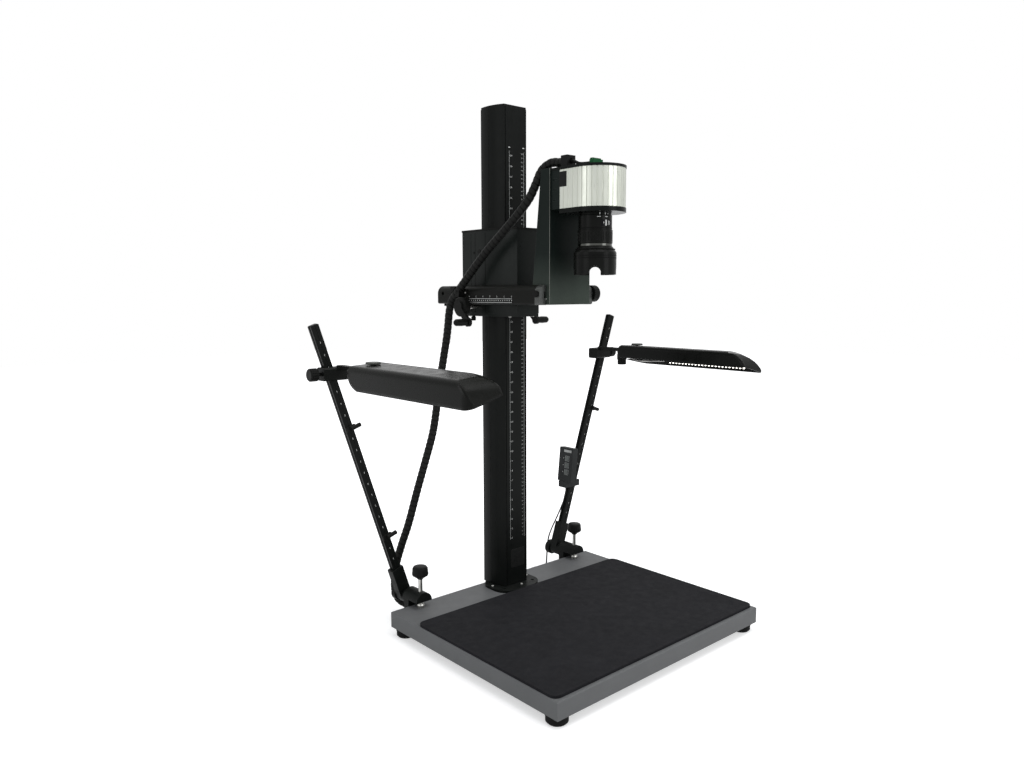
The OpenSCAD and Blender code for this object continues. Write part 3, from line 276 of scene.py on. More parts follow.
def weave_mat(n, color, rough, normal):
    """Cloth-faced rubber: a fine crossed weave in the bump and the colour."""
    wave = []
    for axis in ("X", "Y"):
        w = n.add("TexWave", Scale=260.0, Distortion=0.6, Detail=1.0, Vector=n.coords())
        w.bands_direction = axis
        wave.append(w.outputs["Fac"])
    cross = n.math("MULTIPLY", wave[0], wave[1])
    bump = n.add("Bump", Height=cross, Strength=0.3, Distance=0.00015, Normal=normal)
    color = n.mix(n.remap(cross, 0, 1, 0, 0.35), color, (0.035, 0.036, 0.039, 1))
    return color, rough, bump.outputs["Normal"]


def brushed(axis, amount=0.4):
    """Fine lines along an axis, as on turned or drawn metal."""
    stretch = {"X": (8, 900, 900), "Y": (900, 8, 900), "Z": (900, 900, 8)}[axis]

    def add(n, color, rough, normal):
        place = n.add("Mapping", Vector=n.coords(), Scale=stretch)
        line = n.noise(1.0, 3, 0.7, place.outputs[0])
        rough = n.math("ADD", rough, n.remap(line, 0.3, 0.7, -0.05, 0.08))
        bump = n.add("Bump", Height=line, Strength=amount, Distance=0.00004, Normal=normal)
        color = n.mix(n.remap(line, 0.35, 0.7, 0, 0.35), color, rgba((0.9, 0.9, 0.88)),
                      "SOFT_LIGHT")
        return color, rough, bump.outputs["Normal"]
    return add


def zones(*areas, then=None):
    """Other finishes and painted light on parts of a piece: each area is (limits, colour,
    roughness, metal), where limits are (axis, "above" or "below", place in metres)."""
    def add(n, color, rough, normal):
        if then:
            color, rough, normal = then(n, color, rough, normal)
        split = n.add("SeparateXYZ", Vector=n.coords())
        metal = None
        for limits, tone, shine, steel in areas:
            mask = None
            for axis, way, edge in limits:
                m = n.math("GREATER_THAN" if way == "above" else "LESS_THAN",
                           split.outputs[axis], edge)
                mask = m if mask is None else n.math("MULTIPLY", mask, m)
            cloud = n.remap(n.noise(160, 4, 0.6), 0.3, 0.7, 0.75, 1.25)
            tint = n.add("VectorMath", i0=tone)
            tint.operation = "SCALE"
            n.put(tint, Scale=cloud)
            color = n.mix(mask, color, tint.outputs[0])
            rough = n.math("ADD", n.math("MULTIPLY", rough, n.math("SUBTRACT", 1.0, mask)),
                           n.math("MULTIPLY", mask, shine))
            steel = n.math("MULTIPLY", mask, steel)
            metal = steel if metal is None else n.math("MAXIMUM", metal, steel)
        return color, rough, normal, metal
    return add


def paler_foot(high, low, tone):
    """Painted sheen: a paler coat towards the lower end, from a height down to another, standing
    in for the light on the lower part.
    """
    def add(n, color, rough, normal):
        z = n.add("SeparateXYZ", Vector=n.coords()).outputs["Z"]
        cloud = n.remap(n.noise(22, 3), 0.3, 0.7, 0.8, 1.0)
        part = n.math("MULTIPLY", n.remap(z, high, low), cloud)
        return n.mix(part, color, rgba(tone)), rough, normal
    return add


def dark_gaps(n, color, rough, normal):
    """Painted shade: darker, duller gaps between the turns of a spiral wrap."""
    gap = n.add("Attribute")
    gap.attribute_name = "gap"
    return n.mix(gap.outputs["Fac"], color, rgba((0.0012, 0.0012, 0.0012))), rough, normal


M = {
    "board": surface("board paint", (0.128, 0.131, 0.133), 0.42, vary=0.05, grain=500,
                     bump=0.12, wear_and_sheen=0.35, dust=0.05),
    "mat": surface("mat cloth", (0.0105, 0.0105, 0.0122), 0.78, vary=0.2, grain=1400, bump=0.5,
                   dust=0.02, extra=weave_mat),
    "rubber": surface("rubber", (0.008, 0.008, 0.008), 0.65, grain=700, bump=0.4, dust=0.06),
    "anodised": surface("anodised", (0.0045, 0.0052, 0.0048), 0.33, vary=0.15, grain=1600,
                        bump=0.1, wear_and_sheen=0.35, extra=brushed("Z", 0.15)),
    "anodised_y": surface("anodised bars", (0.0055, 0.0058, 0.0052), 0.36, vary=0.15,
                          grain=1600, bump=0.1, wear_and_sheen=0.35, extra=brushed("Y", 0.15)),
    "powder": surface("powder coat", (0.0060, 0.0070, 0.0064), 0.44, grain=1100, bump=0.5,
                      depth=0.00012, wear_and_sheen=0.45, dust=0.03),
    "housing": surface("housing coat", (0.0068, 0.0088, 0.0078), 0.34, grain=1100, bump=0.4,
                       depth=0.0001, wear_and_sheen=0.5, dust=0.02, Specular_IOR_Level=0.1),
    # the bracket's edges are lightened strongly, as a painted highlight and rubbed wear
    "bracket": surface("bracket coat", (0.0075, 0.0115, 0.0100), 0.36, vary=0.12, grain=900,
                       bump=0.35, wear_and_sheen=0.6, wear_and_sheen_color=(0.16, 0.175, 0.165),
                       # painted sheen: the bracket's lower part is painted paler
                       extra=paler_foot(0.845, 0.745, (0.050, 0.062, 0.052))),
    "plastic": surface("moulded black", (0.0062, 0.0065, 0.0060), 0.38, grain=800, bump=0.2,
                       wear_and_sheen=0.3, dust=0.03),
    "cover": surface("camera cover", (0.0055, 0.0065, 0.0060), 0.28, grain=900, bump=0.12,
                     wear_and_sheen=0.5, dust=0.04),
    "lens": surface("lens black", (0.0068, 0.0073, 0.0066), 0.25, grain=1000, bump=0.15,
                    wear_and_sheen=0.4),
    "steel": surface("turned steel", (0.5, 0.5, 0.48), 0.28, vary=0.1, grain=1200, bump=0.1,
                     Metallic=1.0, extra=brushed("X", 0.3)),
    "rack": surface("rack steel", (0.3, 0.3, 0.29), 0.4, vary=0.15, grain=1200, bump=0.15,
                    Metallic=1.0, extra=brushed("Y", 0.4)),
    "silver": surface("camera silver", (0.50, 0.52, 0.465), 0.36, vary=0.04, grain=1500,
                      bump=0.25, depth=0.00008, Metallic=0.75, extra=brushed("Z", 0.1)),
    "chrome": surface("trim", (0.075, 0.077, 0.072), 0.2, vary=0.05, bump=0.05, Metallic=1.0),
    "lamp": surface("lamp coat", (0.0046, 0.0050, 0.0043), 0.27, vary=0.06, grain=1300,
                    bump=0.03, soft=0.009, Specular_IOR_Level=0.07),
    "grey_plastic": surface("controller grey", (0.028, 0.03, 0.03), 0.45, grain=900, bump=0.35,
                            wear_and_sheen=0.3),
    "button": surface("button grey", (0.13, 0.14, 0.135), 0.42, grain=900, bump=0.3, wear_and_sheen=0.3),
    "cable": surface("cable black", (0.0125, 0.0128, 0.0120), 0.42, grain=1000, bump=0.3,
                     extra=dark_gaps),
    "mark": surface("printed white", (0.62, 0.63, 0.61), 0.5, vary=0.12, bump=0.05),
    "mark_dim": surface("printed grey", (0.42, 0.43, 0.42), 0.5, vary=0.15, bump=0.05),
    "led": lit("led white", (1.0, 0.97, 0.9), 2.2),
    "led_spot": lit("led spot", (1.0, 0.96, 0.88), 2.6),
    "plate": surface("bare plate", (0.013, 0.0135, 0.013), 0.3, vary=0.1, grain=1500, bump=0.1,
                     wear_and_sheen=0.5, wear_and_sheen_color=(0.12, 0.12, 0.12)),
    "seam": surface("seam", (0.003, 0.003, 0.003), 0.6, bump=0.2),
    # a lighter metal for a painted highlight along the bracket's edge
    "edge": surface("painted edge highlight", (0.10, 0.105, 0.095), 0.35, vary=0.2, bump=0.2, Metallic=0.8),
    "glass_black": surface("dark window", (0.004, 0.004, 0.005), 0.08, bump=0.03),
    "carrier": surface("strip carrier", (0.02, 0.0195, 0.019), 0.4, bump=0.2),
    "wire": surface("white wire", (0.7, 0.69, 0.66), 0.4, vary=0.05, bump=0.1),
}

# nodes with two tones: the clamp screws' zinc shafts below their heads, painted light on the arm
# bars' front ends (lighter, partly metallic), the green terminal block in front of the cable
# anchor, and the slide clamps' knurled caps above the lamps
HEAD_HEIGHT = 0.0335
head_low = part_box("clamp_screw_left")[1].z - HEAD_HEIGHT
M["clamp_screw"] = surface(
    "clamp screw", (0.007, 0.0072, 0.007), 0.42, grain=800, bump=0.2, wear_and_sheen=0.35, dust=0.03,
    extra=zones(([("Z", "below", head_low)], (0.42, 0.42, 0.40), 0.3, 1.0)))
# painted light: the arm bars' front ends are painted lighter and partly metallic
M["arm_bar"] = surface(
    "arm bar", (0.0055, 0.0058, 0.0050), 0.36, vary=0.15, grain=1600, bump=0.1, wear_and_sheen=0.35,
    extra=zones(([("Y", "below", 0.048)], (0.075, 0.078, 0.075), 0.36, 0.7),
                then=brushed("Y", 0.15)))
M["anchor"] = surface(
    "cable anchor", (0.008, 0.008, 0.008), 0.4, grain=800, bump=0.2,
    extra=zones(([("Y", "below", -0.06)], (0.012, 0.085, 0.03), 0.35, 0.0)))
M["slide"] = surface(
    "slide clamp", (0.0055, 0.0060, 0.0055), 0.42, grain=1100, bump=0.5, depth=0.00012,
    wear_and_sheen=0.45, dust=0.03,
    extra=zones(([("Z", "above", 0.6035), ("Y", "below", 0.2)], (0.085, 0.09, 0.082), 0.4, 0.3)))

# the look of each node; SIDE stands for left and right
LOOK = {
    "board": "board", "mat": "mat", "feet": "rubber", "column_flange": "powder",
    "column": "anodised", "gear_rack": "rack", "column_cap": "plastic",
    "carriage_housing": "housing", "carriage_lid": "plastic", "carriage_base": "housing",
    "crank_shaft": "steel", "cranks": "plastic", "crank_grip_SIDE": "plastic",
    "drag_screw": "plastic", "arm_bar_SIDE": "arm_bar", "arm_cross_bar": "anodised_y",
    "cable_clip": "plastic", "tilt_knob": "plastic", "bracket": "bracket",
    "camera_mount": "bracket", "camera_body": "silver", "camera_cover": "cover",
    "camera_base": "cover", "cable_anchor": "anchor", "lens_barrel": "lens",
    "focus_ring": "lens", "lens_hood": "lens", "lamp_clamp_SIDE": "powder",
    "clamp_screw_SIDE": "clamp_screw", "bar_socket_SIDE": "powder",
    "lamp_bar_SIDE": "anodised", "pivot_knob_SIDE": "plastic", "slide_clamp_SIDE": "slide",
    "slide_knob_SIDE": "plastic", "lamp_shade_SIDE": "lamp", "led_strip_SIDE": "led",
    "lamp_knob_SIDE": "plastic", "controller": "grey_plastic", "button_top": "button",
    "button_middle": "button", "button_bottom": "button", "harness_plug": "plastic",
    "lead_plug": "plastic",
}
for name, look in LOOK.items():
    for node in sorted({name.replace("SIDE", side) for side in ("left", "right")}):
        materials = NODE[node].data.materials
        materials.clear()
        materials.append(M[look])


# ---------------------------------------------------------------- cables
def mm(points):
    """Vectors in metres of points in millimetres."""
    return [Vector(p) * MM for p in points]


ROUTE_LOW = mm([
    (-124, 353, 584), (-130, 353, 556), (-136, 353, 528), (-146, 354, 464),
    (-158, 356, 399), (-182, 358, 326), (-206, 361, 254), (-230, 366, 174),
    (-246, 377, 116), (-255, 388, 68), (-258, 394, 22), (-256, 394, -10), (-246, 388, -34),
    (-222, 375, -49), (-190, 361, -53), (-150, 350, -53), (-90, 345, -53), (-20, 344, -53),
    (60, 344, -53), (118, 344, -53), (150, 344, -53), (182, 344, -53), (214, 344, -53)])
ROUTE_MID = mm([
    (-100, 331, 750), (-100, 340, 742), (-101, 348, 729), (-103, 353, 704),
    (-107, 353, 672), (-112, 353, 640), (-118, 353, 612), (-123.995, 353, 584.02)])
ROUTE_TOP = mm([
    (-100, 331, 750), (-100, 322, 758), (-99, 296, 781), (-98, 266, 808), (-96, 236, 835),
    (-92, 202, 865), (-88, 166, 893), (-84, 133, 920), (-79, 104, 946), (-71, 83, 973),
    (-63, 72, 1001), (-55, 59, 1033), (-47, 37, 1048), (-42, 14, 1047), (-42, -2, 1047)])
LEAD_TOP = 186.229  # the controller's underside
ROUTE_LEAD = mm([
    (300, 327, LEAD_TOP), (300, 327, LEAD_TOP - 4), (300, 327, LEAD_TOP - 9),
    (299, 328, 165), (296, 333, 143), (290, 342, 115), (285, 354, 85), (279, 366, 55),
    (274, 374, 26), (272, 377, -6), (269, 376, -34), (261, 371, -54), (244, 365, -61),
    (220, 362, -62), (150, 361, -62), (80, 361, -62), (10, 361, -62), (-50, 361, -62),
    (-100, 361, -62), (-118, 362, -62), (-128, 366, -62), (-132, 373, -62),
    (-128, 380, -62), (-118, 384, -62), (-100, 385, -62), (-50, 385, -62), (10, 385, -62),
    (80, 385, -62), (140, 385, -61), (174, 385, -60), (190, 385, -60), (206, 385, -60)])
WRAP_PITCH = 0.0125
WRAP_STEP = 0.0014
WRAP_SIDES = 20
GAP_SHARE = 0.16  # half the gap's width, in turns of the wrap
GAP_DEPTH = 0.085  # in radii
LEAD_STEP = 0.004
LEAD_SIDES = 14


def resample(pts, step):
    """Points at equal steps along a polyline, ending on its last point."""
    out, left = [Vector(pts[0])], step
    for a, b in zip(pts, pts[1:]):
        seg, pos = (b - a).length, 0.0
        while seg - pos >= left:
            pos += left
            out.append(a.lerp(b, pos / seg))
            left = step
        left -= seg - pos
    if (out[-1] - pts[-1]).length > step * 0.3:
        out.append(Vector(pts[-1]))
    else:
        out[-1] = Vector(pts[-1])
    return out


def cable(name, rings, smooth):
    """Piece of a cable from its rings."""
    ob = new_object(name, rings_to_bmesh(rings), smooth)
    ob.data.materials.append(M["cable"])
    return ob


def wrapped_cable(name, route, diameter):
    """Cable in a spiral wrap: the wrap's turns stand a little proud, and the gap is painted
    darker as painted shade.
    """
    path = resample(catmull(route, 8), WRAP_STEP)
    rings, shade_in_gaps = [], []
    run = 0.0
    for i, ring in enumerate(sweep(path, 1.0, WRAP_SIDES)):
        if i:
            run += (path[i] - path[i - 1]).length
        out = []
        for k, p in enumerate(ring):
            turn = (run / WRAP_PITCH + k / WRAP_SIDES) % 1.0
            groove = max(0.0, 1 - min(turn, 1 - turn) / GAP_SHARE)
            crown = 0.985 - 0.02 * abs(turn - 0.5)
            r = diameter / 2 * (crown - GAP_DEPTH * groove ** 0.7)
            # painted shade in the gaps, kept for each point
            shade_in_gaps.append(min(1.0, groove * 1.6))
            out.append(path[i] + (p - path[i]) * r)
        rings.append(out)
    ob = cable(name, rings, 50)
    ob.data.attributes.new("gap", "FLOAT", "POINT").data.foreach_set("value", shade_in_gaps)
    return ob, path


def plain_cable(name, route, diameter):
    """Smooth round cable."""
    path = resample(catmull(route, 8), LEAD_STEP)
    return cable(name, sweep(path, diameter / 2, LEAD_SIDES), 60), path


def cables():
    """The harness's three stretches and the controller's lead, each in place of its node."""
    d = 0.0205
    lower, path = wrapped_cable("harness_lower_wrap", ROUTE_LOW, d)
    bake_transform(lower)
    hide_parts("harness_lower")
    middle, path = wrapped_cable("harness_middle_wrap", ROUTE_MID, d)
    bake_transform(middle)
    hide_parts("harness_middle")
    upper, path = wrapped_cable("harness_upper_wrap", ROUTE_TOP, d)
    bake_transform(upper)
    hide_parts("harness_upper")
    lead, path = plain_cable("controller_lead_sheath", ROUTE_LEAD, 0.004)
    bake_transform(lead)
    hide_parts("controller_lead")


cables()


# ---------------------------------------------------------------- small pieces
TREES = {}


def land(node, start, toward):
    """Where a line from start (mm) first meets a CAD node: place and face direction."""
    if node not in TREES:
        TREES[node] = BVHTree.FromObject(NODE[node], bpy.context.evaluated_depsgraph_get())
    place, normal, _, _ = TREES[node].ray_cast(Vector(start) * MM, Vector(toward).normalized())
    if place is None:
        raise ValueError(f"no face of {node} from {tuple(start)}")
    return place, normal


def axes(normal, up):
    """Rotation whose Z is the normal and whose Y lies as near to up as it can."""
    z = Vector(normal).normalized()
    x = Vector(up).cross(z).normalized()
    return Matrix((x, z.cross(x), z)).transposed()


class Build:
    """Gathers small forms into one piece."""

    def __init__(self):
        self.bm = bmesh.new()

    def add(self, outline, place, normal, up, low, high, edge=0.0):
        """Plate of an outline (mm) from low to high above a face, bevelled by edge."""
        turn = axes(normal, up)
        rings = [(low, 1.0), (high - edge, 1.0)]
        if edge:
            rings.append((high, 1.0 - edge / max(abs(c) for p in outline for c in p)))
        skin(self.bm, [[self.bm.verts.new(Vector(place)
                                          + turn @ Vector((x * k, y * k, z)) * MM)
                        for x, y in outline] for z, k in rings])

    def slab(self, place, normal, up, w, h, high, r=0.4, low=-0.3, edge=0.0):
        """Plate w by h with corners of radius r."""
        pts = []
        for cx, cy, a0 in ((w / 2 - r, h / 2 - r, 0), (r - w / 2, h / 2 - r, 90),
                           (r - w / 2, r - h / 2, 180), (w / 2 - r, r - h / 2, 270)):
            for k in range(4):
                a = math.radians(a0 + 30 * k)
                pts.append((cx + r * math.cos(a), cy + r * math.sin(a)))
        self.add(pts, place, normal, up, low, high, edge)

    def disc(self, place, normal, r, high, low=-0.3, sides=20, edge=0.0, up=(0.3, 0.2, 1)):
        pts = [(r * math.cos(2 * math.pi * k / sides), r * math.sin(2 * math.pi * k / sides))
               for k in range(sides)]
        self.add(pts, place, normal, up, low, high, edge)

    def screw(self, place, normal, r, high=1.2):
        """Socket head: a rimmed disc with a hexagonal recess."""
        turn = axes(normal, (0.31, 0.22, 1))
        profile = [(r, -0.3, False), (r, high * 0.75, False), (r * 0.9, high, False),
                   (r * 0.52, high, True), (r * 0.48, high * 0.2, True)]
        rows = []
        for q, z, hexagon in profile:
            row = []
            for k in range(24):
                a = math.pi * k / 12
                s = q / math.cos((a % (math.pi / 3)) - math.pi / 6) if hexagon else q
                row.append(self.bm.verts.new(Vector(place) + turn @ Vector(
                    (s * math.cos(a), s * math.sin(a), z)) * MM))
            rows.append(row)
        skin(self.bm, rows)

    def turned(self, place, axis, profile, sides):
        """Form turned about an axis from (radius, height) points in mm: a ring where the last
        point is the first, otherwise capped."""
        turn = axes(axis, (0.31, 0.22, 1))
        rows = [[self.bm.verts.new(Vector(place) * MM + turn @ Vector(
            (r * math.cos(2 * math.pi * k / sides), r * math.sin(2 * math.pi * k / sides), z))
            * MM) for k in range(sides)] for r, z in profile]
        closed = profile[0] == profile[-1]
        if closed:
            for v in rows.pop():
                self.bm.verts.remove(v)
            rows.append(rows[0])
        skin(self.bm, rows, not closed)

    def tube(self, points, radius, sides):
        """Capped tube of a smooth curve through points in mm."""
        rings = sweep(catmull(mm(points), 6), radius * MM, sides)
        skin(self.bm, [[self.bm.verts.new(p) for p in ring] for ring in rings])

    def number(self, text, place, normal, up, size):
        """Plain figures of a height in mm, centred on the place."""
        turn = axes(normal, up).to_4x4()
        k = size / FIGURE_HEIGHT * MM
        x = -FIGURE_STEP * len(text) / 2
        for c in text:
            part = FIGURES[c].copy()
            part.transform(Matrix.Translation(place) @ turn @ Matrix.Diagonal((k, k, MM, 1))
                           @ Matrix.Translation((x, -FIGURE_HEIGHT / 2, 0)))
            self.bm.from_mesh(part)
            bpy.data.meshes.remove(part)
            x += FIGURE_STEP

    def done(self, name, look, body, slot, smooth=35):
        """Makes the piece, with its look and the body that it rides; the slot is not used."""
        ob = new_object(name, self.bm, smooth)
        ob.data.materials.append(M[look])
        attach(ob, body)
        return ob


FIGURE_HEIGHT = 0.7
FIGURE_STEP = 0.58


def figures():
    """Meshes of the figures 0 to 9, for the numbers of the scales."""
    found = {}
    for c in "0123456789":
        curve = bpy.data.curves.new("figure", "FONT")
        curve.body = c
        curve.extrude = 0.12
        curve.resolution_u = 2
        ob = bpy.data.objects.new("figure", curve)
        bpy.context.scene.collection.objects.link(ob)
        found[c] = bpy.data.meshes.new_from_object(
            ob.evaluated_get(bpy.context.evaluated_depsgraph_get()))
        bpy.data.objects.remove(ob)
        bpy.data.curves.remove(curve)
    return found


FIGURES = figures()
UP, DOWN = (0, 0, 1), (0, 0, -1)
SIDES = ((-1, "left"), (1, "right"))
LENS_SIDES = 96
# the lamp bars' lean, and the foot of the right one's middle line in mm
BAR_LEAN = math.radians(18.4)
BAR_FOOT_X, BAR_FOOT_Z = 269, 5


def column_print():
    """Inch and centimetre scales down the column's front, a bare plate and flange screws."""
    back = (0, 1, 0)
    inches, inch_top, inch = 39, 1090.5, 25.4
    centimetres, centimetre_top, centimetre = 98, 1097.5, 10
    white, dim = Build(), Build()
    for i in range(inches):
        place, normal = land("column", (-13.7, 150, inch_top - inch * i), back)
        white.number(str(inches - i), place, normal, UP, 4.2)
        white.slab(place + Vector((-0.0048, 0, 0)), normal, UP, 2.2, 0.9, 0.08)
    for i in range(centimetres):
        place, normal = land("column", (21.3, 150, centimetre_top - centimetre * i), back)
        dim.number(str(centimetres - i), place, normal, UP, 3.1)
        dim.slab(place + Vector((0.0050, 0, 0)), normal, UP, 2.0, 0.7, 0.08)
    for x, z in ((-20, 1110), (26, 1112)):
        white.slab(*land("column", (x, 150, z), back), UP, 6, 2.2, 0.1, r=0.6)
    for x in (-20.3, 27.6):
        dim.slab(*land("column", (x, 150, 612), back), UP, 0.7, 980, 0.08, r=0.2)
    white.done("column_inch_scale", "mark", "base", "anodised_black", 0)
    dim.done("column_centimetre_scale", "mark_dim", "base", "anodised_black", 0)
    plate = Build()
    plate.slab(*land("column", (4, 150, 70), back), UP, 46, 48, 0.5, r=2.5, edge=0.2)
    plate.done("column_plate", "plate", "base", "anodised_black")
    screws = Build()
    for x, y in ((7, 199), (-59, 238), (59, 238)):
        screws.screw(*land("column_flange", (x, y, 60), DOWN), 3.4, 2.0)
    screws.done("column_screws", "steel", "base", "steel_bright")


def arm_print():
    """Scale and bolts of the arm's bars, and set screws under their rear ends."""
    white, dim = Build(), Build()

    def at(y, z):
        return land("arm_bar_left", (-130, y, z), (1, 0, 0))
    scale_start = 127.5
    for i in range(7):
        white.number(str(i), *at(scale_start + 26.6 * i, 748), UP, 4.2)
    for z in (742.4, 733.5):
        dim.slab(*at(208, z), UP, 163, 1.3, 0.1, r=0.3)
    for i in range(21):
        white.slab(*at(scale_start + 8 * i, 738.2), UP, 1.9, 2.6, 0.1, r=0.5)
    white.done("arm_scale_marks", "mark", "arm", "anodised_black", 0)
    dim.done("arm_scale_lines", "mark_dim", "arm", "anodised_black", 0)
    bolts, dark = Build(), Build()
    for s, side in SIDES:
        dark.turned((s * 77.5, 402, 728.5), DOWN, [(3.4, -0.3), (3.4, 4.6), (2.6, 5.8)], 20)
        bolts.screw(*land(f"arm_bar_{side}", (s * 130, 348, 758), (-s, 0, 0)), 3.2, 1.2)
    for y in (300, 344):
        bolts.screw(*land("cable_clip", (-130, y, 757), (1, 0, 0)), 3.0, 1.4)
    bolts.done("arm_bolts", "steel", "arm", "steel_bright")
    dark.done("arm_set_screws", "plastic", "arm", "plastic_black")


def carriage_print():
    """Seams, cover discs and screws of the carriage's housing."""
    housing = "carriage_housing"
    seam = Build()
    for s in (-1, 1):
        for y in (256, 295, 312):
            seam.slab(*land(housing, (s * 200, y, 807), (-s, 0, 0)), UP, 1.3, 196, 0.2, r=0.4)
        seam.disc(*land(housing, (s * 200, 299, 857), (-s, 0, 0)), 3.2, 0.3, sides=24)
    for x in (38, 50):
        seam.slab(*land(housing, (x, 100, 807), (0, 1, 0)), UP, 1.0, 196, 0.2, r=0.3)
    seam.done("carriage_seam", "seam", "carriage", "painted_black")
    disc = Build()
    for s in (-1, 1):
        disc.disc(*land(housing, (s * 200, 279, 859), (-s, 0, 0)), 6.5, 0.9, edge=0.3, sides=28)
    disc.done("carriage_disc", "plastic", "carriage", "plastic_black")
    screws = Build()
    for x, y in ((-38, 190), (38, 190), (-52, 332), (52, 332)):
        screws.screw(*land("carriage_base", (x, y, 600), UP), 4.0, 1.6)
    screws.done("carriage_screws", "steel", "carriage", "steel_bright")


def head_print():
    """Bare plate, screws, duct and fittings of the camera head and its bracket, and a painted
    highlight along the bracket's edge.
    """
    plate = Build()
    plate.slab(*land("camera_body", (-200, -17, 1006), (1, 0, 0)), UP, 22, 33, 0.5, r=1.2,
               edge=0.15)
    plate.done("camera_plate", "plate", "head", "plastic_black")
    duct = Build()
    duct.tube([(-42, -21, 1046), (-42, -32, 1044), (-41, -46, 1038), (-38, -64, 1036.5),
               (-34, -82, 1037)], 3.6, 12)
    duct.tube([(-24, -86, 1036), (-12, -78, 1035.8), (2, -72, 1035.8), (14, -80, 1036)], 1.8, 10)
    duct.slab(Vector((8, -78, 1033)) * MM, UP, (0.6, 0.8, 0), 20, 10, 5.2, r=2, edge=1.0)
    duct.done("camera_duct", "plastic", "head", "plastic_black")
    block = Build()
    for i in range(4):
        block.screw(Vector((-44 + 7.4 * i, -86, 1045)) * MM, UP, 1.9, 0.7)
    block.done("camera_terminals", "steel", "head", "steel_bright")
    screws = Build()
    for x, y in ((-48, -30), (48, -30), (-30, -98), (30, -98), (0, 10)):
        screws.screw(*land("camera_cover", (x, y, 1100), DOWN), 2.6, 0.9)
    for s in (-1, 1):
        screws.screw(*land("bracket", (s * 120, 34, 742), (-s, 0, 0)), 3.0, 1.2)
    screws.done("head_screws", "steel", "head", "steel_bright")
    # painted highlight: a thin lighter rod along the bracket's lit front edge
    rim = Build()
    rim.tube([(-66.4, 21.2, 732), (-66.4, 21.2, 860), (-66.4, 21.2, 1033)], 0.55, 8)
    rim.done("bracket_edge_painted_highlight", "edge", "head", "painted_black")


def lens_print():
    """Marks, window, bright ring and grooves of the lens, all turned about its axis."""
    cx, cy = 0.0, -56.5

    def spot(deg, z):
        a = math.radians(deg)
        d = Vector((math.sin(a), -math.cos(a), 0))
        return land("lens_barrel", (cx + 80 * d.x, cy + 80 * d.y, z), (-d.x, -d.y, 0))
    marks = Build()
    for deg, z, w, h in ((-31, 929, 2.2, 7), (-35, 922, 8, 1.6), (-9, 929, 2.4, 7),
                         (-7, 922, 7, 1.6), (3, 928, 1.6, 5), (10, 891, 2.6, 2.6)):
        marks.slab(*spot(deg, z), UP, w, h, 0.12, r=0.5)
    marks.done("lens_marks", "mark", "head", "plastic_black", 0)
    window_z = 909
    window = Build()
    for deg in (-23, -15, -7, 1, 9, 17):
        window.slab(*spot(deg, window_z), UP, 6.4, 15, 0.35, r=0.8, edge=0.15)
    window.done("lens_window", "glass_black", "head", "lens_black")
    stripe = Build()
    for deg, w, h in ((-9, 4.2, 12.5), (-18, 1.2, 4), (2, 1.2, 9), (8, 1.2, 9)):
        stripe.slab(*spot(deg, window_z), UP, w, h, 0.5, r=0.5)
    stripe.done("lens_window_marks", "mark", "head", "plastic_black", 0)
    rings = Build()
    rings.turned((cx, cy, 0), UP, [(37.3, 864.4), (38.1, 864.0), (38.1, 859.4), (37.3, 859.0),
                                   (37.3, 864.4)], LENS_SIDES)
    rings.done("lens_bright_ring", "chrome", "head", "steel_bright")
    lines = Build()
    for z, r in ((932, 35.6), (898.5, 37.6), (852.5, 45.0), (838, 48.0), (833, 48.0)):
        lines.turned((cx, cy, 0), UP, [(r - 0.5, z + 1.0), (r + 0.25, z + 0.7),
                                       (r + 0.25, z - 0.7), (r - 0.5, z - 1.0),
                                       (r - 0.5, z + 1.0)], LENS_SIDES)
    lines.done("lens_grooves", "seam", "head", "plastic_black")


def bar_print():
    """Measuring marks, cable holders and end caps of the lamp bars."""
    holders = {"left": (463, 170), "right": (430,)}
    for s, side in SIDES:
        marks, clips = Build(), Build()
        along = Vector((s * math.sin(BAR_LEAN), 0, math.cos(BAR_LEAN)))

        def hit(distance):
            start = Vector((s * BAR_FOOT_X, 250, BAR_FOOT_Z)) + along * distance
            return land(f"lamp_bar_{side}", start, (0, 1, 0))
        for i in range(20):
            place, normal = hit(677 - 30 * i)
            marks.slab(place, normal, along, 8.5, 1.3, 0.1, r=0.3)
            marks.disc(place, normal, 2.3, 0.14, sides=12)
        marks.done(f"bar_marks_{side}", "mark", f"lamp_arm_{side}", "anodised_black", 0)
        for distance in holders[side]:
            place, normal = hit(distance)
            across = axes(normal, along) @ Vector((1, 0, 0))
            clips.slab(place + across * 0.003, normal, along, 25, 13, 4.0, r=1.5, edge=0.6)
            c = place + Vector(normal) * 0.0062 + across * 0.010
            end = (c + across * 0.016) / MM
            clips.tube([(c - across * 0.009) / MM, c / MM, end], 5.2, 16)
            clips.turned(end, across, [(5.2, -0.2), (5.2, 0.6), (4.2, 1.4)], 20)
        clips.done(f"bar_clips_{side}", "plastic", f"lamp_arm_{side}", "plastic_black")
        cap = Build()
        top = Vector((s * BAR_FOOT_X, 335, BAR_FOOT_Z)) + along * 718
        cap.slab(top * MM, along, (0, 1, 0), 18, 14, 1.2, r=2, edge=0.6)
        cap.done(f"bar_cap_{side}", "plastic", f"lamp_arm_{side}", "plastic_black")


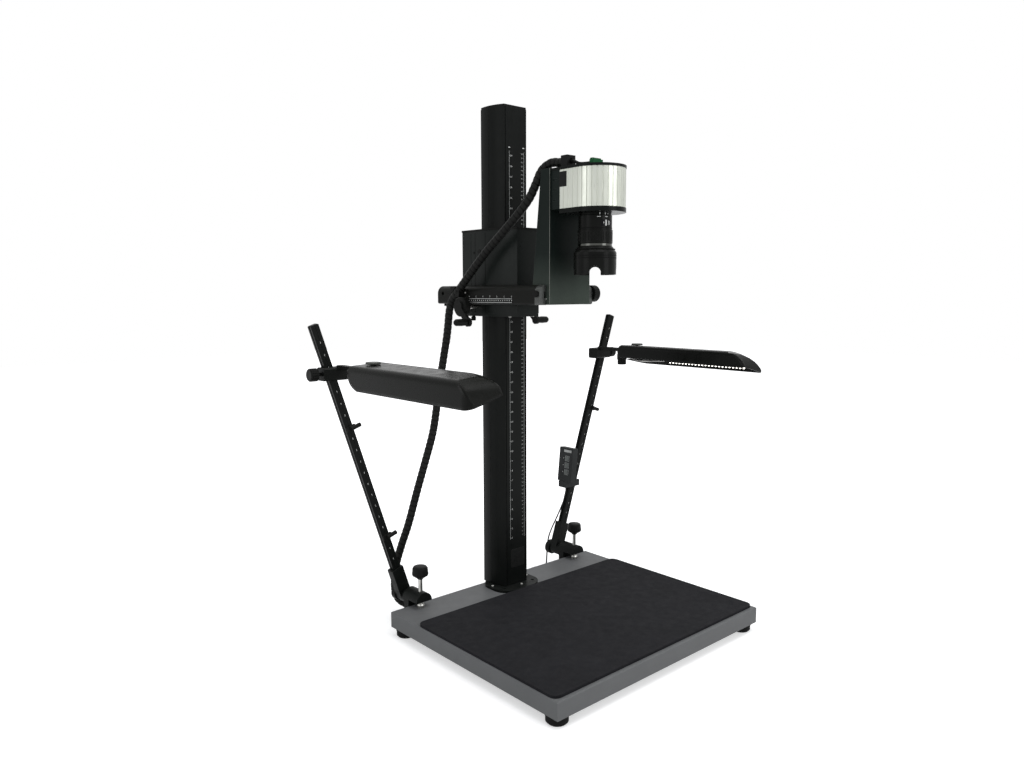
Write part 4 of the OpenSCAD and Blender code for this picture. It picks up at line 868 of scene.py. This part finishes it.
def lamp_print():
    """Dark carrier and separate light spots in place of each strip's plain solid, and the
    leads and lower grips at the lamps' roots."""
    spot_count, spot_margin = 23, 0.005
    spot_profile = [(2.4, -0.1), (2.5, 1.4), (2.3, 2.7), (1.7, 3.7), (0.9, 4.2)]
    for s, side in SIDES:
        lo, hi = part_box(f"led_strip_{side}")
        inner = hi.x if s < 0 else lo.x
        y0, y1, z0 = lo.y, hi.y, lo.z + 0.0015
        middle, long = (y0 + y1) / 2, (y1 - y0) / MM
        body = f"lamp_{side}"
        strip = Build()
        strip.slab((inner + s * 0.012, middle, z0 + 0.0015), DOWN, (0, 1, 0), 24, long, 1.4,
                   r=0.8, low=-1.4, edge=0.3)
        strip.slab((inner + s * 0.002, middle, z0 + 0.0035), DOWN, (0, 1, 0), 3.6, long, 1.4,
                   r=0.5, low=-3.4)
        strip.done(f"led_carrier_{side}", "carrier", body, "plastic_black")
        spots = Build()
        for i in range(spot_count):
            y = y0 + spot_margin + i * (y1 - y0 - 2 * spot_margin) / (spot_count - 1)
            spots.turned(Vector((inner + s * 0.019, y, z0)) / MM, DOWN, spot_profile, 18)
        ob = spots.done(f"led_spots_{side}", "led_spot", body, "led_white")
        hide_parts(f"led_strip_{side}")
        leads = Build()
        for k in (0, 1):
            leads.tube([(s * (436 - 4 * k), 205, 569), (s * (430 - 6 * k), 178 - 9 * k, 564 - k),
                        (s * (420 - 5 * k), 140, 562.5 + 2 * k), (s * (416 + 4 * k), 96, 566),
                        (s * 412, 49, 569)], 1.1, 8)
        leads.done(f"lamp_leads_{side}", "wire", body, "led_white")
        grip = Build()
        rim = [((12.5 - 0.8 * (k % 2)) * math.cos(math.pi * k / 24),
                (12.5 - 0.8 * (k % 2)) * math.sin(math.pi * k / 24)) for k in range(48)]
        grip.add(rim, Vector((s * 437.5, 236, 561)) * MM, DOWN, (0, 1, 0), -0.4, 14, 1.0)
        grip.done(f"lamp_lower_grip_{side}", "plastic", f"lamp_lock_{side}", "plastic_black")


def controller_print():
    """Outlined buttons, signal spots and a bare plate on the controller's face."""
    turn = math.radians(6)
    lo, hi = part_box("button_middle")
    middle = (Vector(lo) + Vector(hi)) / 2 / MM
    face = Vector((-math.cos(turn), 0, math.sin(turn)))
    up = Vector((math.sin(turn), 0, math.cos(turn)))
    half, line = 7.6, 0.7  # of a button's outline
    long = 2 * half + 0.4

    def hit(height, across=0.0):
        start = middle + up * height + face * 60 + Vector((0, across, 0))
        return land("controller", start, -face)
    rims, spots = Build(), Build()
    for row in (20, 0, -20):
        spots.disc(*hit(row, 14.5), 1.1, 0.5, edge=0.15)
        for across in (half, -half):
            rims.slab(*hit(row, across), up, line, long, 0.25, r=0.2)
        for height in (half, -half):
            rims.slab(*hit(row + height), up, long, line, 0.25, r=0.2)
    rims.done("controller_rims", "mark_dim", "lamp_arm_right", "controller_grey")
    spots.done("controller_spots", "mark", "lamp_arm_right", "controller_grey")
    plate = Build()
    plate.slab(*hit(42), up, 30, 7, 0.35, r=0.8, edge=0.1)
    plate.done("controller_plate", "mark_dim", "lamp_arm_right", "controller_grey")


for make in (column_print, arm_print, carriage_print, head_print, lens_print, bar_print,
             lamp_print, controller_print):
    make()


# ---------------------------------------------------------------- floor and light
def studio():
    """Plain pale floor and surround, which show white, and soft lamps."""
    n = Nodes("floor")
    path = n.add("LightPath")
    seen = n.math("MAXIMUM", path.outputs["Is Camera Ray"],
                  n.math("MAXIMUM", path.outputs["Is Glossy Ray"],
                         path.outputs["Is Transmission Ray"]))
    cloth = n.add("BsdfDiffuse", Color=(0.8, 0.8, 0.8, 1))
    place = n.add("SeparateXYZ", Vector=n.coords())
    far = n.math("SQRT", n.math("ADD", n.math("POWER", place.outputs["X"], 2.0),
                                n.math("POWER", place.outputs["Y"], 2.0)))
    glow = n.add("Emission", Color=(1, 1, 1, 1), Strength=n.remap(far, 0.5, 1.6, 0.5, 1.0))
    both = n.add("AddShader", i0=cloth.outputs[0], i1=glow.outputs[0])
    mix = n.add("MixShader", i0=seen, i1=cloth.outputs[0], i2=both.outputs[0])
    n.tree.links.new(mix.outputs[0], n.out.inputs[0])
    bm = bmesh.new()
    bmesh.ops.create_grid(bm, x_segments=1, y_segments=1, size=9)
    floor = new_object("floor", bm, 0)
    floor.location = (0, 0, FLOOR_Z - 0.0003)
    floor.data.materials.append(n.mat)

    world = bpy.data.worlds.new("surround")
    bpy.context.scene.world = world
    world.use_nodes = True
    tree = world.node_tree
    tree.nodes.clear()
    out = tree.nodes.new("ShaderNodeOutputWorld")
    path = tree.nodes.new("ShaderNodeLightPath")
    soft = tree.nodes.new("ShaderNodeBackground")
    soft.inputs[0].default_value = (0.95, 0.97, 1, 1)
    soft.inputs[1].default_value = 0.55
    white = tree.nodes.new("ShaderNodeBackground")
    white.inputs[0].default_value = (1, 1, 1, 1)
    mix = tree.nodes.new("ShaderNodeMixShader")
    peak = [tree.nodes.new("ShaderNodeMath") for _ in range(2)]
    for m in peak:
        m.operation = "MAXIMUM"
    tree.links.new(path.outputs["Is Camera Ray"], peak[0].inputs[0])
    tree.links.new(path.outputs["Is Glossy Ray"], peak[0].inputs[1])
    tree.links.new(peak[0].outputs[0], peak[1].inputs[0])
    tree.links.new(path.outputs["Is Transmission Ray"], peak[1].inputs[1])
    tree.links.new(peak[1].outputs[0], mix.inputs[0])
    tree.links.new(soft.outputs[0], mix.inputs[1])
    tree.links.new(white.outputs[0], mix.inputs[2])
    tree.links.new(mix.outputs[0], out.inputs[0])

    def lamp(name, place, target, size, power):
        data = bpy.data.lights.new(name, "AREA")
        data.shape = "RECTANGLE"
        data.size, data.size_y = size
        data.energy = power
        ob = bpy.data.objects.new(name, data)
        ob.location = place
        ob.rotation_euler = (Vector(target) - Vector(place)).to_track_quat("-Z", "Y").to_euler()
        bpy.context.scene.collection.objects.link(ob)

    lamp("top", (0.2, -0.3, 3.4), (0, 0.1, 0.3), (2.6, 2.6), 62)
    lamp("front", (0.9, -3.2, 1.7), (0, 0.1, 0.5), (1.6, 2.2), 34)
    lamp("left", (-3.0, 0.3, 1.3), (0, 0.1, 0.5), (1.4, 2.0), 14)
    bpy.context.scene.view_settings.view_transform = "Standard"


studio()
